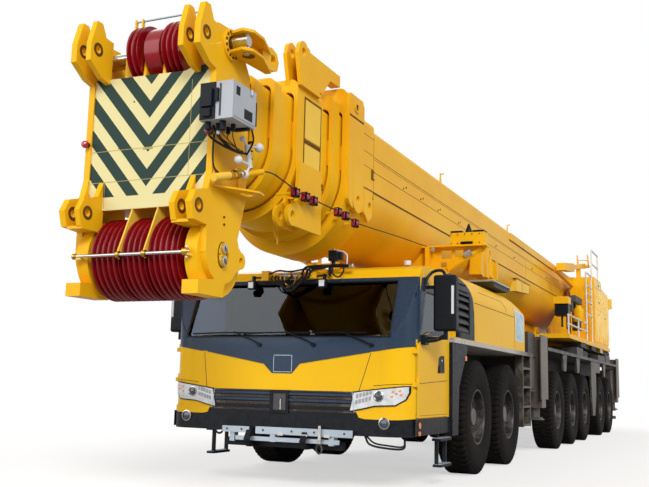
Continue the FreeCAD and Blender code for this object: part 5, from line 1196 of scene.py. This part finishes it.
def makeTelescope():
    latches = []
    for y, z in telescope["latches"]:
        latches += latch(4.3005, y, z) + latch(4.3005, -y - 0.012, z)
        latches.append(brick(4.3005, 4.3105, y - 0.03, y + 0.005, z + 0.03, z + 0.05))
    addPiece("collar_latches", [(blackPlastic, latches)], "boom_5")
    for word, body, places in telescope["links"]:
        rings = [link(place, *axes, 0.009) for place, axes in zip(places, telescope["linkAxes"])]
        addPiece("lifting_links_" + word, [(yellow, rings)], body, smooth=60)
    panels, grooves, keyholeShade = [], [], []
    near = 0.6022
    for side in (-1, 1):
        for low, high in telescope["panels"]:
            panels += sideBricks(side, (3.06, 3.42, near, near + 0.006, low, high))
            grooves.append(frameRing(corners(3.035, 3.44, low - 0.028, high + 0.028),
                                     corners(3.052, 3.423, low - 0.011, high + 0.011),
                                     "y", *span(side, near, near + 0.0035)))
        # dark keyhole shapes on the collar: painted shade inside each keyhole
        keyholeShade += [sideDrum(side, 0.018, 0.6405, 0.6465, 3.06, 3.085, 16),
                 *sideBricks(side, (3.052, 3.068, 0.6405, 0.646, 3.03, 3.065))]
    addPiece("collar_panels", [(paleYellow, panels), (seamAndShadeBrown, grooves)], "boom_3")
    addPiece("keyhole_shade", [(seamAndShadeBrown, keyholeShade)], "boom_3")


def makeLampBoxes():
    for body, boxes in lampBoxes.items():
        black, red, posts = [], [], []
        for x, y, z in boxes:
            black += bricks((x - 0.04, x + 0.04, y - 0.028, y + 0.018, z - 0.044, z + 0.044),
                            *((x + low, x + low + 0.012, y + 0.018, y + 0.032, z - 0.044, z + 0.044)
                              for low in (-0.04, 0.028)))
            red += [disc([(0.028, 0.0), (0.026, 0.012), (0.012, 0.02)], (x, y + 0.018, z), "y", 20),
                    brick(x + 0.04, x + 0.048, y - 0.022, y + 0.014, z - 0.034, z + 0.034)]
            root = 0.5 if body == "boom_3" else 0.6
            posts.append(brick(x - 0.012, x + 0.012, root, y - 0.028, z - 0.012, z + 0.012))
        addPiece("lamp_boxes_" + body, [(blackPlastic, black), (redLens, red), (yellow, posts)], body,
                 bevel=0.003)
    for body, places in cableRuns.items():
        addPiece("lamp_cable_" + body, [(rubberBlack, [hose(places, 40, 0.0065, 8)])], body,
                 smooth=60)


# rows: x, x, distance from the middle twice, z, z
boomBase = {
    "rear": -10.9,
    "dark": (*((-10.9, 1.725, 0.6795, 0.6815, z, z + wide)
               for z, wide in ((3.715, 0.007), (3.69, 0.004), (3.535, 0.006))),
             *((1.735, 2.055, 0.6875, 0.689, z, z + 0.005) for z in (3.92, 3.72, 3.55)),
             *((x, x + 0.004, 0.6795, 0.6812, 2.98, 3.69) for x in (-2.6, -6.9)),
             *((1.7, 1.76, 0.6875, 0.6945, z, z + 0.012) for z in (3.44, 3.53)),
             (-10.9, 2.055, 0.6795, 0.6895, 3.285, 3.3), (1.726, 1.732, 0.6795, 0.689, 3.2, 3.95),
             (-10.9, -5.42, 0.6795, 0.6955, 3.868, 3.88), (1.76, 1.8, 0.6875, 0.7, 3.43, 3.55),
             (-7.0, -5.76, 0.6, 0.742, 3.165, 3.18)),
    "box": ((-5.8, 2.93), (-5.8, 3.17), (-6.95, 3.17), (-6.95, 2.99)),
    "screws": (0.55, -0.15, -0.95, -2.0, -3.1, -4.4, -5.9, -7.6, -9.2),
    "stays": (((-2.62, 2.86), (-2.79, 2.83), (-2.8, 3.2), (-2.64, 3.22)),
              ((-2.98, 2.86), (-3.14, 2.84), (-3.12, 3.3), (-3.02, 3.34), (-2.97, 3.26)))}


def makeBoomBase():
    dark, pale, screws, plain, stays = ([] for _ in range(5))
    for side in (-1, 1):
        dark += sideBricks(side, *boomBase["dark"])
        # the thin pale line on top of the long dark line at z 3.3 is a painted highlight on its upper edge
        pale += [*sideBricks(side, (-10.9, 2.055, 0.6795, 0.6875, 3.3, 3.306)),
                 sidePrism(side, boomBase["box"], 0.6, 0.735)]
        places = [(x + dx, side * 0.68, z) for x in boomBase["screws"] for dx, z in ((0.0, 3.6), (0.1, 3.57))]
        screws.append(bolts(places, "y" if side > 0 else "-y", 0.012, 0.007, 8))
        plain += sideBricks(side, (-6.36, -6.24, 0.735, 0.739, 2.99, 3.16))
        stays += [sidePrism(side, boomBase["stays"][0], 0.66, 0.855), sidePrism(side, boomBase["stays"][1], 0.66, 0.85),
                  *sideBricks(side, (-3.76, -3.68, 0.66, 0.855, 2.88, 3.2), (-3.44, -3.3, 0.655, 0.86, 2.885, 2.925)),
                  drum(0.055, 2.9, 3.19, (-3.36, side * 0.8, 0), "z", 24),
                  link((-3.42, side * 0.79, 3.27), (0.075, 0, 0), (0, 0, 0.1), 0.014)]
    addPiece("boom_seams_and_highlight", [(seamAndShadeBrown, dark), (paleYellow, pale), (axleIronAndShade, screws), (yellow, plain)], "boom_1")
    addPiece("boom_side_stays", [(yellow, stays)], "boom_1", bevel=0.003)
    posts = []
    for x in (-1.2, -5.6):
        posts += [prism([(x - 0.05, 4.05), (x + 0.05, 4.05), (x + 0.012, 4.2), (x - 0.012, 4.2)], "y", 0.6, 0.612),
                  drum(0.01, 0.596, 0.66, (x, 0, 4.19), "y", 12)]
    rail = bricks((-10.8, 1.9, -0.53, -0.515, 4.0495, 4.062), (-10.8, 1.9, 0.515, 0.53, 4.0495, 4.062))
    addPiece("boom_top", [(yellow, posts), (trimGrey, rail)], "boom_1")


lugPlate = {
    "near": 0.6955, "far": 0.738, "eye": (2.42, 4.1),
    "upper": ((2.18, 3.502), (2.595, 3.502), (2.595, 4.17), (2.56, 4.235), (2.21, 4.235), (2.18, 4.19)),
    "lower": ((2.462, 3.502), (2.462, 2.96), (2.54, 2.99), (2.585, 3.05), (2.595, 3.502))}


def makeLugPlates():
    # upright plates on the front collar's sides, above and beside the lugs, each with an eye at its top; a dark disc in
    # each eye is painted shade in the bore, and a dark line under the plates' step is a painted shadow
    painted, boreShade, steps = [], [], []
    x, z = lugPlate["eye"]
    for side in (-1, 1):
        painted += [sidePrism(side, lugPlate[key], lugPlate["near"], lugPlate["far"]) for key in ("upper", "lower")]
        painted += sideBricks(side, (2.181, 2.594, 0.738, 0.746, 3.99, 4.16))
        ring = [(radius, side * out) for radius, out in corners(0.036, 0.058, 0.746, 0.76)]
        painted.append(revolve(ring, (x, 0, z), "y", 28))
        # painted shade in the eye's bore
        boreShade.append(sideDrum(side, 0.0355, 0.7465, 0.7475, x, z))
        # painted shadow under the step's lower edge
        steps += sideBricks(side, (2.181, 2.594, 0.7385, 0.7395, 3.972, 3.989))
    addPiece("lug_plates", [(yellow, painted), (axleIronAndShade, boreShade), (seamAndShadeBrown, steps)], "boom_1")


def makeBracketTrim():
    black, screws, bright = [], [], []
    cone = ((0.0505, 0.0), (0.0485, 0.02), (0.03, 0.075), (0.01, 0.128), (0.004, 0.134))
    for side in (-1, 1):
        black += [*sideBricks(side, (-0.582, -0.418, 0.993, 1.152, 3.1505, 3.178),
                              (-0.582, -0.418, 1.298, 1.457, 3.1505, 3.178), (-0.385, -0.379, 1.14, 1.31, 2.985, 3.02)),
                  disc(cone, (-0.5, side * 1.225, 3.1505), "z", 28)]
        bright += [drum(0.03, -0.3795, -0.366, (0, side * 0.752, 2.925), "x", 20),
                   tube([(-0.46, side * 1.18, 2.845), (-0.455, side * 1.27, 2.895)], 0.046, 16)]
        screws.append(bolts([(-0.3895, side * y, z) for y in (1.01, 1.1, 1.2, 1.3, 1.4) for z in (3.0, 3.125)],
                            "x", 0.009, 0.008, 8))
    addPiece("bracket_trim", [(blackPlastic, black), (seamAndShadeBrown, screws), (cleanSteel, bright)], "boom_1")


makeTelescope()
makeLampBoxes()
makeBoomBase()
makeLugPlates()
makeBracketTrim()
print("boom made")

# lamp bar over the windscreen; the leads sag between a start and an end along y

bar = {
    "x": 2.335, "z": 2.262, "stays": (-0.35, -0.05, 0.25, 0.42), "lamps": (-0.505, 0.375),
    "collars": (-0.2, -0.06, 0.07, 0.15),
    "sagging": ((-0.22, 0.12, 2.1, 0.011), (-0.18, 0.16, 2.075, 0.013), (-0.13, 0.2, 2.13, 0.01),
                (-0.27, -0.02, 2.15, 0.009)),
    "rising": ((0.1, 0.09, 0.013), (0.15, 0.075, 0.012), (0.19, 0.06, 0.011)),
    "pale": ((-0.16, 2.13), (-0.11, 2.15))}


def makeLampBar():
    x, z = bar["x"], bar["z"]
    painted = [tube([(x, -0.33, z), (x, 0.0, z - 0.006), (x, 0.28, z - 0.012)], 0.024, 14),
               brick(x - 0.035, x + 0.045, -0.4, -0.31, z - 0.055, z + 0.055),
               tube([(x - 0.02, 0.235, z - 0.02), (x - 0.025, 0.235, z + 0.08),
                     (x - 0.03, 0.235, z + 0.135)], 0.02, 12),
               brick(x - 0.035, x + 0.03, 0.2, 0.275, z - 0.045, z + 0.04),
               *bricks(*((2.235, x, y - 0.018, y + 0.018, z - 0.012, z + 0.008) for y in bar["stays"]))]
    golden = [drum(0.032, y, y + 0.035, (x, 0, z - 0.006), "y", 16) for y in bar["collars"]]
    golden += [hose([(x + 0.05, start, z), (x + 0.08, start + 0.05, low), (x + 0.06, start + 0.17, low + 0.02),
                     (x + 0.05, start + 0.2, z)], 24, 0.005, 6) for start, low in bar["pale"]]
    sleeve = tube([(x + 0.004, -0.16, z - 0.004), (x + 0.004, 0.05, z - 0.007)], 0.027, 14)
    addPiece("lamp_bar", [(yellow, painted), (brass, golden), (cleanSteel, [sleeve])], smooth=40, bevel=0.0015)
    black = bricks(*((x + 0.035, x + 0.095, y - 0.045, y + 0.045, 2.105, 2.205) for y in bar["lamps"]),
                   *((x, x + 0.045, y - 0.014, y + 0.014, 2.19, 2.262) for y in bar["lamps"]),
                   (x, x + 0.02, -0.52, -0.38, 2.235, 2.255), (x, x + 0.02, 0.27, 0.4, 2.235, 2.255))
    lenses = bricks(*((x + 0.095, x + 0.101, y - 0.032, y + 0.032, 2.12, 2.19) for y in bar["lamps"]))
    addPiece("work_lamps", [(blackPlastic, black), (whiteLens, lenses)], bevel=0.006)
    unit = [*bricks((x - 0.04, x + 0.045, 0.425, 0.515, 2.405, 2.52),
                    (x - 0.03, x + 0.03, 0.53, 0.575, 2.415, 2.5)),
            tube([(x, 0.43, 2.355), (x, 0.6, 2.35), (x, 0.66, 2.348)], 0.02, 12),
            *bricks((x - 0.02, x + 0.02, 0.455, 0.485, 2.345, 2.41), (x - 0.015, x + 0.015, 0.415, 0.445, 2.245, 2.365))]
    ends = [drum(0.026, 0.66, 0.705, (x, 0, 2.346), "y", 18), drum(0.014, 0.455, 0.485, (x, 0, 2.53), "y", 14)]
    wires = [tube([(x, 0.5, 2.525), (x, 0.6, 2.5), (x, 0.632, 2.47)], 0.008, 8),
             tube([(x, 0.632, 2.475), (x, 0.632, 2.36)], 0.008, 8)]
    addPiece("roof_sensor", [(blackPlastic, unit), (brightSteel, ends), (whitePlastic, wires)],
             bevel=0.003)
    loops = [hose([(x + 0.03, start, z - 0.005), (x + 0.07, start + 0.02, z - 0.06),
                   (x + 0.085, (start + end) / 2, low), (x + 0.07, end - 0.02, z - 0.05), (x + 0.03, end, z)], 30, r)
             for start, end, low, r in bar["sagging"]]
    loops += [hose([(x + 0.03, start, z), (x + 0.05, start + 0.05, z + rise * 0.8),
                    (x + 0.04, start + 0.16, z + rise), (x + 0.01, 0.46, 2.357)], 26, r)
              for start, rise, r in bar["rising"]]
    loops += [hose([(x + 0.02, 0.47, 2.335), (x + 0.05, 0.49, 2.255), (x + 0.05, 0.555, 2.222),
                    (x + 0.04, 0.6, 2.27), (x + 0.015, 0.605, 2.335)], 28, 0.009),
              hose([(x + 0.03, -0.3, z + 0.02), (x + 0.05, -0.18, z + 0.05), (x + 0.06, -0.02, z + 0.035),
                    (x + 0.04, 0.16, z + 0.06), (x + 0.02, 0.22, z + 0.02)], 28, 0.01)]
    addPiece("lamp_bar_hoses", [(rubberBlack, loops)], smooth=60)
    knobs = [drum(0.04, 2.375, 2.425, (2.02, side * 1.22, 0), "z", 20) for side in (-1, 1)]
    addPiece("roof_knobs", [(whitePlastic, knobs)], bevel=0.006)


makeLampBar()
print("lamp bar made")

# superstructure

cabinet = {
    "outer": 1.44, "rib": 1.467,
    "panel": ((-13.95, 2.42), (-11.45, 2.42), (-11.45, 3.84), (-12.63, 3.84), (-12.78, 3.69), (-13.95, 3.63)),
    "lines": ((-12.66, -11.45, 3.4), (-13.95, -11.45, 3.09), (-12.66, -11.45, 3.62)), "uprights": (-12.66, -12.0),
    "handles": ((-12.25, 3.27), (-12.25, 3.7), (-13.4, 2.95), (-12.1, 2.95)),
    "stains": ((-12.9, 2.45, 2.9), (-12.3, 2.44, 2.75), (-13.5, 2.45, 2.8)),
    "lead": {"place": (-14.1, 1.4), "turns": 17, "radius": 0.05, "foot": 2.42, "top": 3.3}}


def makeCabinet():
    y = cabinet["outer"]
    near, far = y + 0.004, y + 0.0062
    pale = [prism(cabinet["panel"], "y", y, near),
            *bricks(*((x - 0.001, x + 0.061, y, cabinet["rib"], 2.281, 3.601) for x in np.arange(-13.9, -11.45, 0.4)))]
    seams = bricks(*((a, b, near, far, z, z + 0.006) for a, b, z in cabinet["lines"]),
                   *((x, x + 0.006, near, far, 3.09, 3.84) for x in cabinet["uprights"]))
    handles = bricks(*((x, x + 0.1, near, y + 0.016, z, z + 0.03) for x, z in cabinet["handles"]))
    stains = bricks(*((x, x + 0.03, near, y + 0.0055, low, high) for x, low, high in cabinet["stains"]))
    addPiece("cabinet_panels", [(creamYellow, pale), (seamAndShadeBrown, seams), (axleIronAndShade, handles), (yellow, stains)],
             "superstructure", bevel=0.0015)
    # a lead coiled round a post
    lead = cabinet["lead"]
    x, y = lead["place"]
    turn = np.linspace(0, lead["turns"] * 2 * np.pi, lead["turns"] * 14)
    rise = np.linspace(lead["foot"], lead["top"], len(turn))
    path = np.stack([x + lead["radius"] * np.cos(turn), y + lead["radius"] * np.sin(turn), rise], -1)
    core = tube([(x, y, lead["foot"] - 0.02), (x, y, lead["top"] + 0.02)], 0.034, 14)
    addPiece("coiled_lead", [(creamYellow, [tube(path, 0.013, 6)]), (axleIronAndShade, [core])], "superstructure", smooth=60)
    tail = bricks((-15.05, -14.04, 1.3, 1.36, 3.34, 3.62), (-15.05, -14.04, 1.26, 1.3, 2.45, 3.34))
    addPiece("tail_panels", [(yellow, tail)], "superstructure", bevel=0.004)


platform = {
    "lid": (-8.42, -8.05, 1.02, 1.34, 2.89, 3.045), "grey": (-9.9, -8.95, 1.15, 1.36, 3.02, 3.16),
    "black": ((-8.4, -8.08, 1.05, 1.33, 2.635, 2.888), (-9.0, -8.75, 1.06, 1.3, 2.79, 2.99)),
    "stays": ((-8.24, -8.2, 1.16, 1.2, 2.4, 2.64), (-9.5, -9.4, 1.29, 1.39, 2.4, 2.6),
              (-9.5, -9.42, 1.2, 1.28, 2.4, 3.02), (-8.9, -8.86, 1.16, 1.2, 2.4, 2.79)),
    "can": ((0.1, 0.0), (0.112, 0.02), (0.112, 0.27), (0.085, 0.3), (0.05, 0.36)),
    "tray": ((-14.25, -9.15, 1.02, 1.36, 2.035, 2.129), (-9.9, -9.2, 1.1, 1.42, 2.026, 2.128),
             (-11.5, -10.9, 1.1, 1.425, 2.026, 2.128)),
    "deckBoxes": ((-13.3, -12.75, 0.92, 1.1, 1.811, 1.99), (-10.9, -10.2, 1.112, 1.32, 1.811, 1.985),
                  (-13.25, -11.9, 1.13, 1.17, 1.9605, 2.02), (-14.3, -11.6, 1.0, 1.03, 1.45, 1.7495))}
# the folded access arm: outline (x, z), y, y
foldedArm = (
    (((-9.0, 3.73), (-9.0, 3.9), (-10.35, 4.06), (-10.35, 3.86)), 0.94, 1.14),
    (((-10.35, 3.92), (-10.35, 4.02), (-12.55, 4.36), (-12.55, 4.22)), 1.0, 1.09),
    (((-12.4, 4.24), (-12.55, 4.24), (-12.34, 4.545), (-12.28, 4.545)), 0.9, 0.93),
    (((-12.4, 4.24), (-12.55, 4.24), (-12.34, 4.545), (-12.28, 4.545)), 1.16, 1.19),
    (((-12.4, 3.5), (-12.0, 3.6), (-9.15, 3.72), (-9.15, 3.82), (-12.0, 3.7), (-12.4, 3.62)), 0.858, 0.945))


def makePlatform():
    # lamp boxes, a filter can and the folded access arm beside the platform's guard
    painted = [brick(*platform["lid"]), disc(platform["can"], (-9.45, 1.34, 2.6), "z", 28)]
    addPiece("platform_boxes", [(yellow, painted), (blackPlastic, bricks(*platform["black"])),
                                (trimGrey, [brick(*platform["grey"])]), (axleIronAndShade, bricks(*platform["stays"]))],
             "superstructure", bevel=0.004)
    arm = [prism(outline, "y", low, high) for outline, low, high in foldedArm]
    arm += bricks((-12.54, -12.4, 0.9, 1.19, 4.235, 4.3), (-12.46, -12.42, 0.92, 1.17, 4.42, 4.44),
                  (-11.62, -11.5, 1.0, 1.1, 3.861, 4.14))
    addPiece("folded_arm", [(yellow, arm)], "superstructure", bevel=0.004)
    # dark equipment between the platform and the carrier: a long tray, two reels, shackles and a pale box
    gold = brick(-12.85, -12.35, 1.22, 1.43, 2.028, 2.128)
    addPiece("platform_tray", [(axleIronAndShade, bricks(*platform["tray"])), (brass, [gold])], "superstructure",
             bevel=0.004)
    spools = [drum(0.088, 0.98, 1.1, (x, 0, 1.9), "y", 28) for x in (-9.35, -9.75, -11.2, -12.2)]
    rings = [link((x, 1.105, 1.87), (0.05, 0, 0), (0, 0, 0.05), 0.012) for x in (-8.9, -8.75)]
    addPiece("deck_reels", [(axleIronAndShade, spools + bricks(*platform["deckBoxes"])), (brightSteel, rings)],
             bevel=0.003)


# radius, steps along it, sides, then the places that the hose passes
tailHoses = (
    (0.048, 48, 14, ((-16.62, 0.98, 2.8), (-16.7, 0.99, 2.62), (-16.78, 1.02, 2.36), (-16.72, 1.08, 2.2),
                     (-16.45, 1.12, 2.14), (-15.9, 1.1, 2.17), (-15.2, 1.02, 2.24))),
    (0.032, 40, 12, ((-16.5, 0.9, 2.8), (-16.56, 0.92, 2.6), (-16.6, 0.95, 2.4), (-16.5, 1.0, 2.27),
                     (-16.2, 1.02, 2.22), (-15.6, 1.0, 2.25))))
craneCab = {"pane": ((-7.695, 2.455), (-6.925, 2.455), (-6.955, 2.7), (-7.255, 3.555), (-7.695, 3.555)),
            "front": (((-6.945, -1.37, 2.7), (-6.945, -0.845, 2.7)), ((-7.225, -1.37, 3.5), (-7.225, -0.845, 3.5))),
            "thickness": 0.006}
winchRope = {"place": (-15.9, 0, 3.23), "half": 0.5, "radius": 0.355, "ridge": 0.01, "pitch": 0.028, "core": 0.2}


def makeRear():
    loops = [hose(points, count, radius, around) for radius, count, around, points in tailHoses]
    addPiece("tail_hoses", [(rubberBlack, loops)], "superstructure", smooth=60)
    pane = np.array(craneCab["front"])
    panes = [prism(craneCab["pane"], "y", y, y + craneCab["thickness"]) for y in (-1.372, -0.846)]
    panes += [slab(pane, pane - np.array([craneCab["thickness"], 0, 0])),
              brick(-8.69, -7.505, -0.815, -0.809, 2.805, 3.555)]
    addPiece("crane_cab_glass", [(screenGlass, panes)], "superstructure")
    doorPane = brick(-7.94, -7.32, -1.4815, -1.4755, 2.74, 3.57)
    addPiece("crane_cab_door_glass", [(screenGlass, [doorPane])], "crane_cab_door")
    # rope laid on the drum: small ridges round it, one to each turn
    half, radius = winchRope["half"], winchRope["radius"]
    spots = np.linspace(-half, half, 361)
    ridges = radius + winchRope["ridge"] * np.abs(np.sin(np.pi * (spots + half) / winchRope["pitch"]))
    profile = [(winchRope["core"], -half), *zip(ridges, spots), (winchRope["core"], half)]
    addPiece("winch_rope", [(axleIronAndShade, [revolve(profile, winchRope["place"], "y", 72)])], "winch",
             smooth=60)


makeCabinet()
makePlatform()
makeRear()
print("superstructure made")

bpy.context.view_layer.update()
